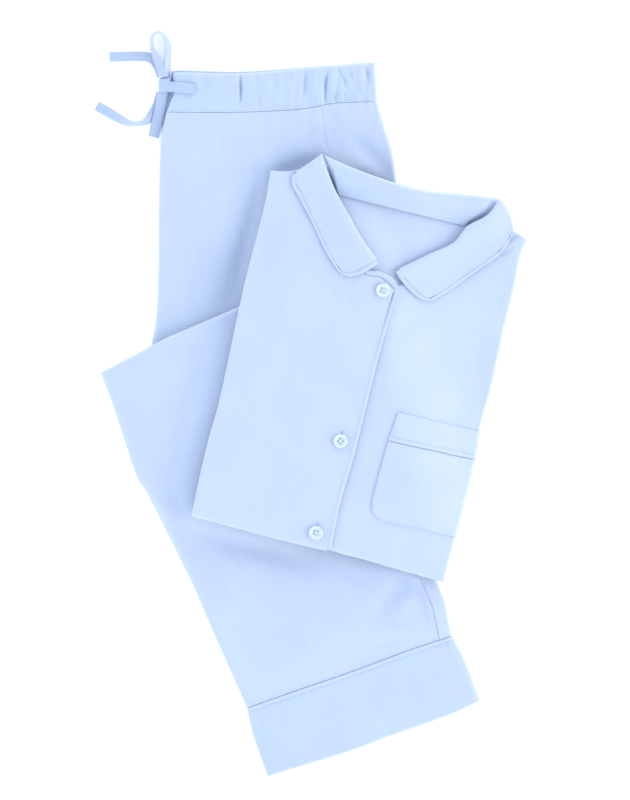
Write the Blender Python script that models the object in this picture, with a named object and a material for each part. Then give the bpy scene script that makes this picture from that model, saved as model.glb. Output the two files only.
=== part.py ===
"""Pyjama set folded flat: a button-through shirt lying on zig-zag folded drawstring trousers.

The set rests on its underside. X runs across the stack, Y from the cuff end to the waist end, Z up.
Plan sizes and heights in the tables are millimetres; meshes are made in metres.
"""

import math

import bmesh
import bpy
from mathutils import Vector
from mathutils.bvhtree import BVHTree

MM = 0.001

# Driving dimensions, millimetres
CLOTH = 1.3            # wall of one cloth piece with its seam allowances
SEAM = 0.3             # gap between pieces that are sewn together
FACET = 0.2            # more room than that beside a curved line of piping
HIP_HEIGHT = 6.0       # trousers folded leg on leg, top of the upper leg
BAND_RISE = 3.4        # the elastic waistband stands this much higher
LEG_SINGLE = 5.2       # lower leg lying alone on the surface
LEG_DOUBLE = 8.2       # lower leg over the part of the trousers folded back
SHIRT_HEIGHT = 11.0    # folded shirt, from what it lies on to its top
OVERLAP_RISE = 2.6     # the right front lies on the left front
AIR = 2.4              # loose air under the top cloth of a stack
OVERLAP = 28.0         # width of that overlap
PIPING = 4.0           # width of the flat piping
BUTTON = 12.7          # button diameter
TAPE_WIDE = 8.0        # drawstring tape lying single
LOOP_WIDE = 9.4        # and in the bow's loops and strand
TAPE_THICK = 1.5
POCKET_BAND = 23.0     # turned band along the pocket's mouth
HIP_SEAM = 0.735       # side seam, as a share of the way across the hip
LEG_SEAM = 0.94        # and across the lower leg
BLEND = 6              # power that eases one bed under the shirt into the other

COTTON = (0.62, 0.76, 0.94)
COTTON_EDGE = (0.66, 0.79, 0.95)
PEARL = (0.87, 0.91, 0.89)


# ---- plan curves and patches -------------------------------------------------------------------

def curve_through(points):
    """Smooth curve through plan points; the returned function takes the share of its length."""
    pts = [Vector(p) for p in points]
    reach = [0.0]
    for a, b in zip(pts, pts[1:]):
        reach.append(reach[-1] + (b - a).length)
    last = len(pts) - 1

    def slope(k):
        lo, hi = max(k - 1, 0), min(k + 1, last)
        return (pts[hi] - pts[lo]) / (reach[hi] - reach[lo])

    def at(share):
        s = min(max(share, 0.0), 1.0) * reach[-1]
        k = 0
        while k < last - 1 and s > reach[k + 1]:
            k += 1
        span = reach[k + 1] - reach[k]
        w = (s - reach[k]) / span
        h1 = w * w * (3 - 2 * w)
        ease_in = w * (1 - w) ** 2 * span
        ease_out = -w * w * (1 - w) * span
        return pts[k] * (1 - h1) + pts[k + 1] * h1 + slope(k) * ease_in + slope(k + 1) * ease_out

    at.length = reach[-1]
    return at


class Patch:
    """Plan of a piece of cloth between four edges. u runs left to right, v from top to bottom."""

    def __init__(self, left, right, top, bottom):
        self.left = curve_through(left)
        self.right = curve_through(right)
        self.top = curve_through(top)
        self.bottom = curve_through(bottom)
        self.wide = (self.top.length + self.bottom.length) / 2
        self.long = (self.left.length + self.right.length) / 2

    def at(self, u, v):
        across = self.top(u) * (1 - v) + self.bottom(u) * v
        down = self.left(v) * (1 - u) + self.right(v) * u
        a, b = self.top(0), self.top(1)
        c, d = self.bottom(0), self.bottom(1)
        corners = (a * (1 - u) + b * u) * (1 - v) + (c * (1 - u) + d * u) * v
        return across + down - corners

    def outline(self, per_side=14):
        steps = [k / per_side for k in range(per_side)]
        ring = [self.top(t) for t in steps] + [self.right(t) for t in steps]
        ring += [self.bottom(1 - t) for t in steps] + [self.left(1 - t) for t in steps]
        return ring


def outside(ring, x, y):
    """Distance from a plan point to a closed outline, zero inside it."""
    p = Vector((x, y))
    inside = False
    best = 1e9
    for a, b in zip(ring, ring[1:] + ring[:1]):
        if (a.y > y) != (b.y > y) and x < (b.x - a.x) * (y - a.y) / (b.y - a.y) + a.x:
            inside = not inside
        edge = b - a
        if edge.length_squared > 0:
            t = min(max((p - a).dot(edge) / edge.length_squared, 0.0), 1.0)
            best = min(best, (a + edge * t - p).length)
    return 0.0 if inside else best


def fall(distance, reach):
    """1 up to zero distance, easing to 0 at the reach."""
    t = min(max(distance / reach, 0.0), 1.0)
    return 0.5 + 0.5 * math.cos(math.pi * t)


# ---- outlines, each row one (x, y) -------------------------------------------------------------

WAIST_TOP = [(-130.5, 320.5), (-123, 321), (-66, 320), (-10, 324), (56, 329)]
WAIST_LEFT = [(-130.5, 320.5), (-129.6, 311), (-129.4, 301), (-132.6, 291.5), (-136, 283)]
WAIST_SEAM = [(-136, 283), (-66, 283), (-10, 286), (18, 291), (58, 293)]
HIP_LEFT = [(-136, 282.7), (-138.6, 271), (-141.4, 257), (-143, 202), (-144, 126), (-146, 90), (-150, 68),
            (-151, 40)]
HIP_RIGHT = [(58, 292.7), (65, 269), (72, 246), (75, 222), (77, 190), (79, 152)]
HIP_END = [(-151, 40), (-108, 58), (-69, 76), (-13, 103), (33, 126), (79, 152)]
HIP_BOTTOM_FOLD = [(-146, -67), (-20, -69), (88, -67)]

LEG_FOLD = [(-197, 43), (-151, 67), (-134, 76), (-108, 87), (-69, 104), (-13, 131), (33, 153)]
LEG_LEFT = [(-197, 43), (-186, 14), (-175, -19), (-163, -54), (-154, -68), (-130, -116),
            (-112, -153), (-88, -208), (-62, -266)]
LEG_RIGHT = [(33, 153), (56, 73), (79, -28), (102, -116), (113, -149), (121, -169), (124, -184),
             (127, -199)]
CUFF_SEAM = [(-62, -266), (-11, -248), (41, -230), (89, -212), (119, -202), (127, -199)]
CUFF_LEFT = [(-62, -266), (-57, -289), (-43, -329)]
CUFF_RIGHT = [(127, -199), (138, -220), (153, -259)]
CUFF_END = [(-43, -329), (-6, -318), (33, -306), (73, -291), (129, -271), (153, -259)]

SHIRT_LEFT = [(-40, 229), (-42, 217), (-45, 199), (-58, 149), (-66, 116), (-87, 18), (-97, -18),
              (-104, -47), (-113, -89)]
SHIRT_RIGHT = [(197, 165), (192, 156), (189, 145), (185, 124), (177, 91), (162, 27), (152, -8),
               (148, -34), (139, -72), (119, -150)]
SHIRT_SHOULDERS = [(-40, 229), (-24, 228), (5, 236), (39, 223), (76, 210), (105, 202), (138, 199),
                   (166, 195), (184, 173), (197, 165)]
SHIRT_HEM = [(-113, -89), (-71, -100), (-34, -110), (13, -121), (42, -128), (80, -139), (119, -150)]
FRONT_EDGE = [(77, 119), (73, 106), (65, 78), (56, 45), (43, -8), (35, -39), (24, -77), (15, -121)]

WAISTBAND = Patch(WAIST_LEFT, [(56, 329), (58, 293)], WAIST_TOP, WAIST_SEAM)
HIP = Patch(HIP_LEFT, HIP_RIGHT, [(x, y - SEAM) for x, y in WAIST_SEAM], HIP_END)
HIP_WHOLE = Patch(
    WAIST_LEFT[:-1] + HIP_LEFT + [(-149, -10), (-146, -67)],
    [(56, 329)] + HIP_RIGHT + [(83, 82), (86, -1), (88, -67)],
    WAIST_TOP, HIP_BOTTOM_FOLD)
LEG = Patch(LEG_LEFT, LEG_RIGHT, LEG_FOLD, CUFF_SEAM)
LEG_WHOLE = Patch(LEG_LEFT + CUFF_LEFT[1:], LEG_RIGHT + CUFF_RIGHT[1:], LEG_FOLD, CUFF_END)
CUFF = Patch(CUFF_LEFT, CUFF_RIGHT, [(x + 0.3, y - SEAM - 0.3) for x, y in CUFF_SEAM], CUFF_END)
SHIRT = Patch(SHIRT_LEFT, SHIRT_RIGHT, SHIRT_SHOULDERS, SHIRT_HEM)

IN = PIPING + SEAM + FACET  # cloth edge beside a line of piping
RIGHT_FRONT = Patch(
    SHIRT_LEFT,
    [(x - IN, y) for x, y in FRONT_EDGE],
    [(-40, 229), (-24, 228), (-6, 229), (8, 212), (20, 191), (34, 160), (43, 138), (50, 131.8), (58, 131),
     (65.5, 127), (77 - IN, 119)],
    SHIRT_HEM[:3] + [(15 - IN, -120.6)])
LEFT_FRONT = Patch(
    [(54, 112), (47, 92), (38, 66), (29, 35), (16, -16), (8, -47), (-2, -84), (-12, -112)],
    SHIRT_RIGHT,
    [(54, 112), (75, 123), (98, 128), (122, 142), (145, 160), (166, 176), (184, 173), (197, 165)],
    [(-12, -112), (12, -118.6), (24, -123.4)] + SHIRT_HEM[4:])
BACK = Patch(
    [(20, 203), (37, 165), (58, 126)],
    [(146, 174), (120, 150), (84, 122)],
    [(20, 203), (26, 204.5), (56, 197.4), (89, 189.4), (122, 181.4), (146, 174)],
    [(58, 126), (84, 122)])
COLLAR_BAND = Patch(
    [(9, 243), (19.5, 214), (23, 206.5)],
    [(169, 203.5), (157.5, 189.5), (140, 179)],
    [(9, 243), (39, 230), (76, 217), (105, 210), (138, 207), (169, 203.5)],
    [(23, 206.5), (56, 198), (89, 190), (122, 182), (140, 179)])
# A leaf runs from its shoulder end (v = 0) to its rounded tip (v = 1), roll edge at u = 0
RIGHT_LEAF = Patch(
    [(7, 244), (18, 214), (33, 186), (46, 163), (60, 144)],
    [(-19, 226), (-22, 220), (-15, 206), (-1, 179), (11, 153), (23, 135)],
    [(7, 244), (-6, 235), (-19, 226)],
    [(60, 144), (46, 135), (33, 131), (23, 135)])
LEFT_LEAF = Patch(
    [(171, 203), (159, 188), (141, 178), (128, 163), (105, 152), (74, 137)],
    [(184, 173), (173, 154), (146, 134), (122, 117), (107, 109)],
    [(171, 203), (179, 193), (183, 182), (184, 173)],
    [(74, 137), (77, 131), (89, 117), (99, 110), (107, 109)])
POCKET = Patch(
    [(77, 8), (68, -20), (58, -55), (53, -77), (54, -86), (61, -93)],
    [(154.4, -10), (150.4, -34), (141.4, -72), (132.3, -108)],
    [(77, 8), (113, -1), (154.4, -10)],
    [(61, -93), (80, -97), (98, -100), (115, -105), (132.3, -108)])

# Gathers under the elastic: place along the band, depth, half-width, reach below the band
GATHERS = [
    dict(x=-121, deep=0.6, half=4.0, reach=12), dict(x=-96, deep=0.5, half=5.0, reach=14),
    dict(x=-81, deep=0.7, half=4.0, reach=16), dict(x=-68, deep=2.3, half=3.2, reach=26),
    dict(x=-50, deep=1.2, half=3.4, reach=20), dict(x=-39, deep=1.6, half=3.0, reach=26),
    dict(x=-29, deep=1.7, half=3.0, reach=24), dict(x=-21, deep=1.3, half=2.6, reach=18),
    dict(x=-6, deep=1.8, half=3.0, reach=30), dict(x=1, deep=1.4, half=2.4, reach=22),
    dict(x=14, deep=1.8, half=2.8, reach=24), dict(x=22, deep=1.7, half=2.6, reach=24),
    dict(x=33, deep=1.6, half=2.8, reach=20), dict(x=43, deep=1.8, half=2.8, reach=22),
    dict(x=50, deep=1.2, half=2.4, reach=16)]

# Large soft folds: ends, half-width and height (negative is a trough)
HIP_FOLDS = [
    dict(a=(26, 262), b=(74, 214), half=9, high=1.3), dict(a=(14, 246), b=(52, 205), half=10, high=-1.0),
    dict(a=(-128, 250), b=(-120, 120), half=18, high=0.6)]
LEG_FOLDS = [
    dict(a=(70, -150), b=(98, -182), half=9, high=-1.1),
    dict(a=(44, -176), b=(84, -203), half=11, high=0.9),
    dict(a=(48, -207), b=(86, -214), half=6, high=-0.8),
    dict(a=(-150, -20), b=(-70, 40), half=24, high=0.5)]


# ---- heights -----------------------------------------------------------------------------------

def fold_height(folds, x, y):
    """Sum of the soft folds at a point, each fading over a fifth of its length at its ends."""
    total = 0.0
    p = Vector((x, y))
    for row in folds:
        a, b = Vector(row["a"]), Vector(row["b"])
        line = b - a
        t = (p - a).dot(line) / line.length_squared
        off = (p - a - line * t).length
        ends = fall(-t, 0.2) * fall(t - 1, 0.2)
        total += row["high"] * ends * math.exp(-((off / row["half"]) ** 2))
    return total


def seam_y(x):
    return 283 + 0.052 * (x + 135)


def gather_depth(x, y):
    """How far the gathers sink the cloth: full in the band, fading below its seam."""
    below = max(seam_y(x) - y, 0.0)
    total = 0.0
    for row in GATHERS:
        spread = row["half"] * (1 + 0.03 * below)
        total += row["deep"] * math.exp(-(((x - row["x"]) / spread) ** 2)) * math.exp(-below / row["reach"])
    return total


HIP_RING = HIP_WHOLE.outline()
LEG_RING = LEG_WHOLE.outline()
BACK_RING = BACK.outline()


def hip_top(x, y):
    below = max(seam_y(x) - y, 0.0)
    rise = BAND_RISE * math.exp(-below / 30)
    return HIP_HEIGHT + rise - gather_depth(x, y) + fold_height(HIP_FOLDS, x, y)


def leg_base(x, y):
    return (HIP_HEIGHT + 1.2) * fall(outside(HIP_RING, x, y), 54)


def leg_top(x, y):
    thick = LEG_SINGLE + (LEG_DOUBLE - LEG_SINGLE) * fall(-50 - y, 60)
    return leg_base(x, y) + thick + fold_height(LEG_FOLDS, x, y)


def shirt_base(x, y):
    """Bed of the folded shirt, which bridges from the trousers down to the surface beside them."""
    on_hip = (HIP_HEIGHT + 1.9) * fall(outside(HIP_RING, x, y), 70)
    crown = LEG_SINGLE + 2.0 + (HIP_HEIGHT + LEG_DOUBLE - LEG_SINGLE + 1.2) * fall(-62 - y, 90)
    on_leg = crown * fall(outside(LEG_RING, x, y), 84)
    return (on_hip ** BLEND + on_leg ** BLEND) ** (1 / BLEND)


def shirt_top(x, y):
    return shirt_base(x, y) + SHIRT_HEIGHT


def front_top(x, y):
    """Top of the right front, raised where it laps over the left front."""
    edge = 77 + (y - 119) * 0.27
    return shirt_top(x, y) + OVERLAP_RISE * fall(edge - x - OVERLAP, 40)


# ---- cloth walls -------------------------------------------------------------------------------
# An edge profile runs from the cloth's very edge inwards. inset and drop are shares of the edge's
# radius and depth; nx and nz point from the outer face to the inner one, nx inwards, nz down.
FOLDED = [
    dict(inset=0.35, drop=1.0, nx=0.92, nz=-0.3), dict(inset=0.0, drop=0.62, nx=1.0, nz=0.0),
    dict(inset=0.12, drop=0.3, nx=0.85, nz=0.5), dict(inset=0.45, drop=0.08, nx=0.4, nz=0.9),
    dict(inset=1.0, drop=0.0, nx=0.0, nz=1.0)]
TURNED = [
    dict(inset=0.0, drop=1.0, nx=1.0, nz=0.0), dict(inset=0.18, drop=0.25, nx=0.6, nz=0.8),
    dict(inset=1.0, drop=0.0, nx=0.0, nz=1.0)]
FLAT = [dict(inset=0.0, drop=0.0, nx=0.0, nz=1.0)]


def edge(profile, radius=0.0, depth=0.0, start=0.0):
    """Rows of an edge: distance from the outline, drop, and the way to the inner face."""
    return [(start + row["inset"] * radius, row["drop"] * depth, row["nx"], row["nz"]) for row in profile]


def stations(low, high, size, count, inner=None):
    """Stations across a patch from its low edge to its high one, as (share, drop, nx, nz).

    inner lists the shares between the two edges; without it they are evenly spaced.
    """
    first = [(d / size, drop, nx, nz) for d, drop, nx, nz in low]
    last = [(1 - d / size, drop, -nx, nz) for d, drop, nx, nz in high]
    a, b = first[-1][0], last[-1][0]
    if inner is None:
        inner = [a + (b - a) * k / count for k in range(1, count)]
    gap = 0.8 / size
    middle = [(t, 0.0, 0.0, 1.0) for t in inner if a + gap < t < b - gap]
    return first + middle + last[::-1]


def cloth(name, patch, top, us, vs, thick=CLOTH, colour=COTTON, floor=None):
    """Closed wall of cloth over a patch: outer face, inner face and the rim between them.

    An edge that turns down stops at the floor, where one is given.
    """
    outer, inner = [], []
    for v, drop_v, nv, zv in vs:
        row_out, row_in = [], []
        for u, drop_u, nu, zu in us:
            p = patch.at(u, v)
            z = top(p.x, p.y) - max(drop_u, drop_v)
            if floor:
                z = max(z, floor(p.x, p.y))
            for row, depth in ((row_out, 0.0), (row_in, thick)):
                q = patch.at(u + depth * nu / patch.wide, v + depth * nv / patch.long)
                row.append((q.x, q.y, z - depth * min(zu, zv)))
        outer.append(row_out)
        inner.append(row_in)
    return shell(name, outer, inner, colour)


def shell(name, outer, inner, colour):
    bm = bmesh.new()
    outside_verts = [[bm.verts.new(Vector(p) * MM) for p in row] for row in outer]
    inside_verts = [[bm.verts.new(Vector(p) * MM) for p in row] for row in inner]
    rows, cols = len(outer), len(outer[0])
    for grid in (outside_verts, inside_verts):
        for i in range(rows - 1):
            for j in range(cols - 1):
                bm.faces.new((grid[i][j], grid[i][j + 1], grid[i + 1][j + 1], grid[i + 1][j]))
    rim = [(0, j) for j in range(cols)] + [(i, cols - 1) for i in range(1, rows)]
    rim += [(rows - 1, j) for j in range(cols - 2, -1, -1)] + [(i, 0) for i in range(rows - 2, 0, -1)]
    for (i, j), (m, n) in zip(rim, rim[1:] + rim[:1]):
        bm.faces.new((outside_verts[i][j], outside_verts[m][n], inside_verts[m][n], inside_verts[i][j]))
    return finish(name, bm, colour)


def top_of(*objects):
    """Height of cloth already made, found straight down onto its facets, or None beside it."""
    trees = [BVHTree.FromPolygons([v.co for v in o.data.vertices], [f.vertices for f in o.data.polygons])
             for o in objects]

    def height(x, y):
        hits = [tree.ray_cast(Vector((x, y, 100)) * MM, Vector((0, 0, -1)))[0] for tree in trees]
        return max((hit.z / MM for hit in hits if hit), default=-100.0)

    return height


def finish(name, bm, colour, rough=0.75):
    bmesh.ops.recalc_face_normals(bm, faces=bm.faces)
    if bm.calc_volume(signed=True) < 0:
        bmesh.ops.reverse_faces(bm, faces=bm.faces)
    mesh = bpy.data.meshes.new(name)
    bm.to_mesh(mesh)
    bm.free()
    mesh.shade_smooth()
    mesh.set_sharp_from_angle(angle=math.radians(50))
    material = bpy.data.materials.new(name)
    material.use_nodes = True
    shader = material.node_tree.nodes["Principled BSDF"]
    shader.inputs["Base Color"].default_value = (*colour, 1)
    shader.inputs["Roughness"].default_value = rough
    mesh.materials.append(material)
    obj = bpy.data.objects.new(name, mesh)
    bpy.context.collection.objects.link(obj)
    return obj


# ---- hidden layers -----------------------------------------------------------------------------
# Edge of the folded layers below the top cloth: two rounded plies between the base and the lip
PLIES = [
    dict(inset=1.5, up=0.0), dict(inset=1.0, up=0.24), dict(inset=2.3, up=0.48), dict(inset=1.1, up=0.74),
    dict(inset=2.4, up=1.0)]


def hidden_layers(name, patch, base, top, lip, across, down, core=4.2):
    """Rounded solid for the layers folded under a piece: plies at its edge, a flat core inside."""

    def grid_point(inset, i, j):
        du, dv = inset / patch.wide, inset / patch.long
        return patch.at(du + (1 - 2 * du) * j / across, dv + (1 - 2 * dv) * i / down)

    loop = [(0, j) for j in range(across)] + [(i, across) for i in range(down)]
    loop += [(down, j) for j in range(across, 0, -1)] + [(i, 0) for i in range(down, 0, -1)]

    bm = bmesh.new()

    def place(p, z):
        return bm.verts.new(Vector((p.x, p.y, z)) * MM)

    def ply_z(p, up):
        floor = base(p.x, p.y)
        return floor + up * max(top(p.x, p.y) - lip - floor, 0.6)

    def cap(inset, height):
        return [[place(p := grid_point(inset, i, j), height(p)) for j in range(across + 1)]
                for i in range(down + 1)]

    bottom = cap(PLIES[0]["inset"], lambda p: base(p.x, p.y))
    crown = cap(core, lambda p: top(p.x, p.y) - CLOTH - AIR)
    rings = [[bottom[i][j] for i, j in loop]]
    for row in PLIES[1:]:
        rings.append([place(p := grid_point(row["inset"], i, j), ply_z(p, row["up"])) for i, j in loop])
    rings.append([place(p := grid_point(core - 0.4, i, j), ply_z(p, 1.0) + 0.25) for i, j in loop])
    rings.append([crown[i][j] for i, j in loop])
    for grid in (bottom, crown):
        for i in range(down):
            for j in range(across):
                bm.faces.new((grid[i][j], grid[i][j + 1], grid[i + 1][j + 1], grid[i + 1][j]))
    for low, high in zip(rings, rings[1:]):
        for k in range(len(loop)):
            n = (k + 1) % len(loop)
            bm.faces.new((low[k], low[n], high[n], high[k]))
    return finish(name, bm, COTTON)


# ---- swept strips: piping and drawstring -------------------------------------------------------

def sweep(name, rings, colour):
    """Closed tube through rings of points, with both ends filled."""
    bm = bmesh.new()
    loops = [[bm.verts.new(Vector(p) * MM) for p in ring] for ring in rings]
    for a, b in zip(loops, loops[1:]):
        for k in range(len(a)):
            n = (k + 1) % len(a)
            bm.faces.new((a[k], a[n], b[n], b[k]))
    bm.faces.new(loops[0])
    bm.faces.new(loops[-1][::-1])
    return finish(name, bm, colour)


# Half-round section of the piping: share of the way from its inner to its outer line, height in mm
PIPE_SECTION = [(0.0, 0.0), (0.0, 0.9), (0.26, 1.9), (0.74, 1.9), (1.0, 0.9), (1.0, 0.0)]


def piping(name, inner, outer, floor):
    """Flat piping between two plan lines of as many points, lying at the height that floor gives."""
    rings = []
    for a, b in zip(inner, outer):
        z = floor((a.x + b.x) / 2, (a.y + b.y) / 2)
        rings.append([(*(a + (b - a) * share), z + up) for share, up in PIPE_SECTION])
    return sweep(name, rings, COTTON_EDGE)


# Rounded section of the tape, shares of its width and its thickness
TAPE_SECTION = [(-0.5, 0.0), (-0.44, -0.5), (0.44, -0.5), (0.5, 0.0), (0.44, 0.5), (-0.44, 0.5)]
TURN_SHARE = 0.001     # weight of a degree of turn beside a millimetre of route


def tape(name, route, count, width=TAPE_WIDE):
    """Flat tape along route rows (x, y, z, stand), where stand turns its width upright at 90 degrees."""
    course = curve_through([(r["x"], r["y"], r["z"], r["stand"] * TURN_SHARE) for r in route])
    rows = [course(k / count) for k in range(count + 1)]
    centre = [row.to_3d() for row in rows]
    upright = Vector((0, 0, 1))
    rings = []
    for k, p in enumerate(centre):
        ahead = centre[min(k + 1, count)] - centre[max(k - 1, 0)]
        ahead.normalize()
        flat = upright.cross(ahead)
        flat.normalize()
        up = ahead.cross(flat)
        lean = math.radians(rows[k].w / TURN_SHARE)
        wide = flat * math.cos(lean) + up * math.sin(lean)
        thin = ahead.cross(wide)
        rings.append([p + wide * a * width + thin * b * TAPE_THICK for a, b in TAPE_SECTION])
    return sweep(name, rings, COTTON_EDGE)


# ---- the pieces --------------------------------------------------------------------------------

def clear_scene():
    for obj in list(bpy.data.objects):
        bpy.data.objects.remove(obj, do_unlink=True)


def gather_shares(patch_wide, x_left):
    """Columns on each gather's trough and on the crest half way to the next one."""
    xs = [row["x"] for row in GATHERS]
    crests = [(a + b) / 2 for a, b in zip(xs, xs[1:])]
    return sorted((x - x_left) / patch_wide for x in xs + crests)


def build_trousers():
    fold = edge(FOLDED, 4.0, 4.2)
    hidden_layers("trousers_folded_hip", HIP_WHOLE, lambda x, y: 0.0,
                  lambda x, y: HIP_HEIGHT + 1.4 * fall(seam_y(x) - y, 20), 5.2, 5, 10)
    hidden_layers("trousers_folded_leg", LEG_WHOLE, leg_base, leg_top, 5.2, 8, 14, core=5.0)

    band_fold = edge(FOLDED, 4.5, 5.2)
    cloth("waistband", WAISTBAND, hip_top,
          stations(band_fold, band_fold, WAISTBAND.wide, 0, gather_shares(WAISTBAND.wide, -134)),
          stations(edge(TURNED, 4.0, 5.0), edge(TURNED, 1.5, 1.6), WAISTBAND.long, 3))

    shares = gather_shares(HIP.wide * 0.94, -137)
    hip_rows = stations(edge(FLAT), edge(FLAT), HIP.long, 0,
                        [0.035, 0.08, 0.14, 0.22, 0.32, 0.45, 0.62, 0.8])
    front_shares = [s for s in shares if s < HIP_SEAM - 0.02]
    back_shares = [s for s in shares if s > HIP_SEAM + 0.02]
    front = stations(fold, edge(FLAT, start=(1 - HIP_SEAM) * HIP.wide), HIP.wide, 0, front_shares)
    back = stations(edge(FLAT, start=HIP_SEAM * HIP.wide + SEAM), fold, HIP.wide, 0, back_shares)
    cloth("trouser_front_hip", HIP, hip_top, front, hip_rows)
    cloth("trouser_back_hip", HIP, hip_top, back, hip_rows)

    leg_rows = stations(fold, edge(FLAT), LEG.long, 14)
    leg_columns = stations(fold, edge(FLAT, start=(1 - LEG_SEAM) * LEG.wide), LEG.wide, 9)
    strip_columns = stations(edge(FLAT, start=LEG_SEAM * LEG.wide + SEAM), fold, LEG.wide, 2)
    cloth("trouser_front_leg", LEG, leg_top, leg_columns, leg_rows)
    cloth("trouser_back_leg", LEG, leg_top, strip_columns, leg_rows)

    def cuff_top(x, y):
        return leg_top(x, y) + 0.4

    cuff_fold = edge(FOLDED, 4.0, 4.4)
    shares = [row[0] for row in leg_columns + strip_columns[1:]]
    strip = stations(cuff_fold, cuff_fold, CUFF.wide, 0, shares)
    cloth("cuff_piping", CUFF, lambda x, y: cuff_top(x, y) + 0.6, strip,
          stations(edge(FLAT), edge(FLAT, start=CUFF.long - PIPING), CUFF.long, 0, []), 1.6, COTTON_EDGE)
    cloth("cuff", CUFF, cuff_top, strip,
          stations(edge(FLAT, start=PIPING + SEAM), edge(TURNED, 2.0, 2.6), CUFF.long, 4))


def build_shirt():
    fold = edge(FOLDED, 5.0, 6.0)
    turn = edge(TURNED, 2.0, 2.0)

    def core_top(x, y):
        return shirt_top(x, y) - 3.9 * fall(outside(BACK_RING, x, y) - 8, 16)

    hidden_layers("shirt_folded_under", SHIRT, shirt_base, core_top, 6.6, 9, 14, core=7.0)
    left = cloth("shirt_front_left", LEFT_FRONT, shirt_top,
                 stations(edge(FLAT), fold, LEFT_FRONT.wide, 8), stations(turn, fold, LEFT_FRONT.long, 14))
    right = cloth("shirt_front_right", RIGHT_FRONT, front_top,
                  stations(fold, edge(FLAT), RIGHT_FRONT.wide, 8),
                  stations(turn, fold, RIGHT_FRONT.long, 12))
    cloth("shirt_back", BACK, lambda x, y: shirt_top(x, y) - 3.3,
          stations(edge(FLAT), edge(FLAT), BACK.wide, 6), stations(edge(FLAT), edge(FLAT), BACK.long, 5))

    outer = curve_through([(52.5, 136.6), (60, 136), (70.5, 131), (76, 124.5), (77, 119)] + FRONT_EDGE[1:-1]
                          + [(15.4, -119)])
    inner = curve_through([(52.5, 134.4), (59.6, 133), (67.5, 128.9), (73.6, 122.4), (73.5, 117.5)]
                          + [(x - PIPING, y) for x, y in FRONT_EDGE[1:-1]] + [(15.4 - PIPING, -119)])
    count = 26
    on_left = top_of(left)
    piping("front_piping", [inner(k / count) for k in range(count + 1)],
           [outer(k / count) for k in range(count + 1)],
           lambda x, y: max(front_top(x, y) - 1.3, on_left(x, y) + 0.5))
    build_pocket(on_left)
    build_buttons(top_of(right))
    build_collar(top_of(right), top_of(left))


def build_collar(on_right, on_left):
    roll = edge(FOLDED, 5.0, 9.0)

    def band_height(x, y):
        """The band rises from the neck seam to the roll at the back of the neck."""
        near = min((COLLAR_BAND.top(k / 24) - Vector((x, y))).length for k in range(25))
        return shirt_top(x, y) - 1.6 + 8.4 * fall(near - 2, 34)

    cloth("collar_band", COLLAR_BAND, band_height,
          stations(edge(FLAT), edge(FLAT), COLLAR_BAND.wide, 10),
          stations(roll, edge(FLAT), COLLAR_BAND.long, 4))
    for name, leaf, smooth, facets in (("collar_leaf_right", RIGHT_LEAF, front_top, on_right),
                                       ("collar_leaf_left", LEFT_LEAF, shirt_top, on_left)):
        def under(x, y, smooth=smooth, facets=facets):
            return max(smooth(x, y), facets(x, y))

        def leaf_height(x, y, leaf=leaf, under=under):
            """Highest along the roll and at the shoulder end, flat at the outer edge and the tip."""
            gaps = [((leaf.left(k / 24) - Vector((x, y))).length, k / 24) for k in range(25)]
            near, share = min(gaps)
            return under(x, y) + 2.4 + (1.2 + 4.6 * (1 - share) ** 1.4) * fall(near - 1, 26)

        cloth(name, leaf, leaf_height,
              stations(edge(FOLDED, 3.6, 3.8), edge(FLAT, start=IN), leaf.wide, 4),
              stations(edge(TURNED, 3.0, 2.6), edge(FLAT, start=IN), leaf.long, 7),
              floor=lambda x, y: under(x, y) + 0.8)
        du, dv = (PIPING - FACET) / leaf.wide, (PIPING - FACET) / leaf.long
        downs = [0.02 + 0.98 * k / 10 for k in range(11)]
        backs = [1 - 0.96 * k / 5 for k in range(1, 6)]
        inner = [leaf.at(1 - du, v * (1 - dv)) for v in downs]
        inner += [leaf.at(u * (1 - du), 1 - dv) for u in backs]
        outer = [leaf.at(1, v) for v in downs] + [leaf.at(u, 1) for u in backs]
        piping(name.replace("leaf", "piping"), inner, outer, lambda x, y: leaf_height(x, y) - 1.2)


def build_pocket(on_left):
    def on_front(x, y):
        return max(shirt_top(x, y), on_left(x, y)) + CLOTH + 0.9

    columns = stations(edge(FLAT), edge(TURNED, 6.0, 6.2), POCKET.wide, 8)
    pipe_end = POCKET_BAND + PIPING
    rows = stations(edge(FLAT), edge(FLAT, start=POCKET.long - POCKET_BAND), POCKET.long, 2)
    cloth("pocket_band", POCKET, on_front, columns, rows)
    rows = stations(edge(FLAT, start=POCKET_BAND + SEAM), edge(FLAT, start=POCKET.long - pipe_end),
                    POCKET.long, 0, [])
    cloth("pocket_piping", POCKET, lambda x, y: on_front(x, y) + 0.6, columns, rows, 1.8, COTTON_EDGE)
    rows = stations(edge(FLAT, start=pipe_end + SEAM), edge(FLAT), POCKET.long, 6)
    cloth("pocket_bag", POCKET, on_front, columns, rows)


BUTTONS = [dict(x=63, y=118.5), dict(x=24, y=-20), dict(x=1.5, y=-104)]
# Button profile from its underside to its dished middle: share of the radius, height in mm
BUTTON_PROFILE = [(0.0, 0.0), (0.8, 0.0), (1.0, 0.8), (0.97, 2.1), (0.8, 2.5), (0.6, 1.9), (0.0, 1.7)]


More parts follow.
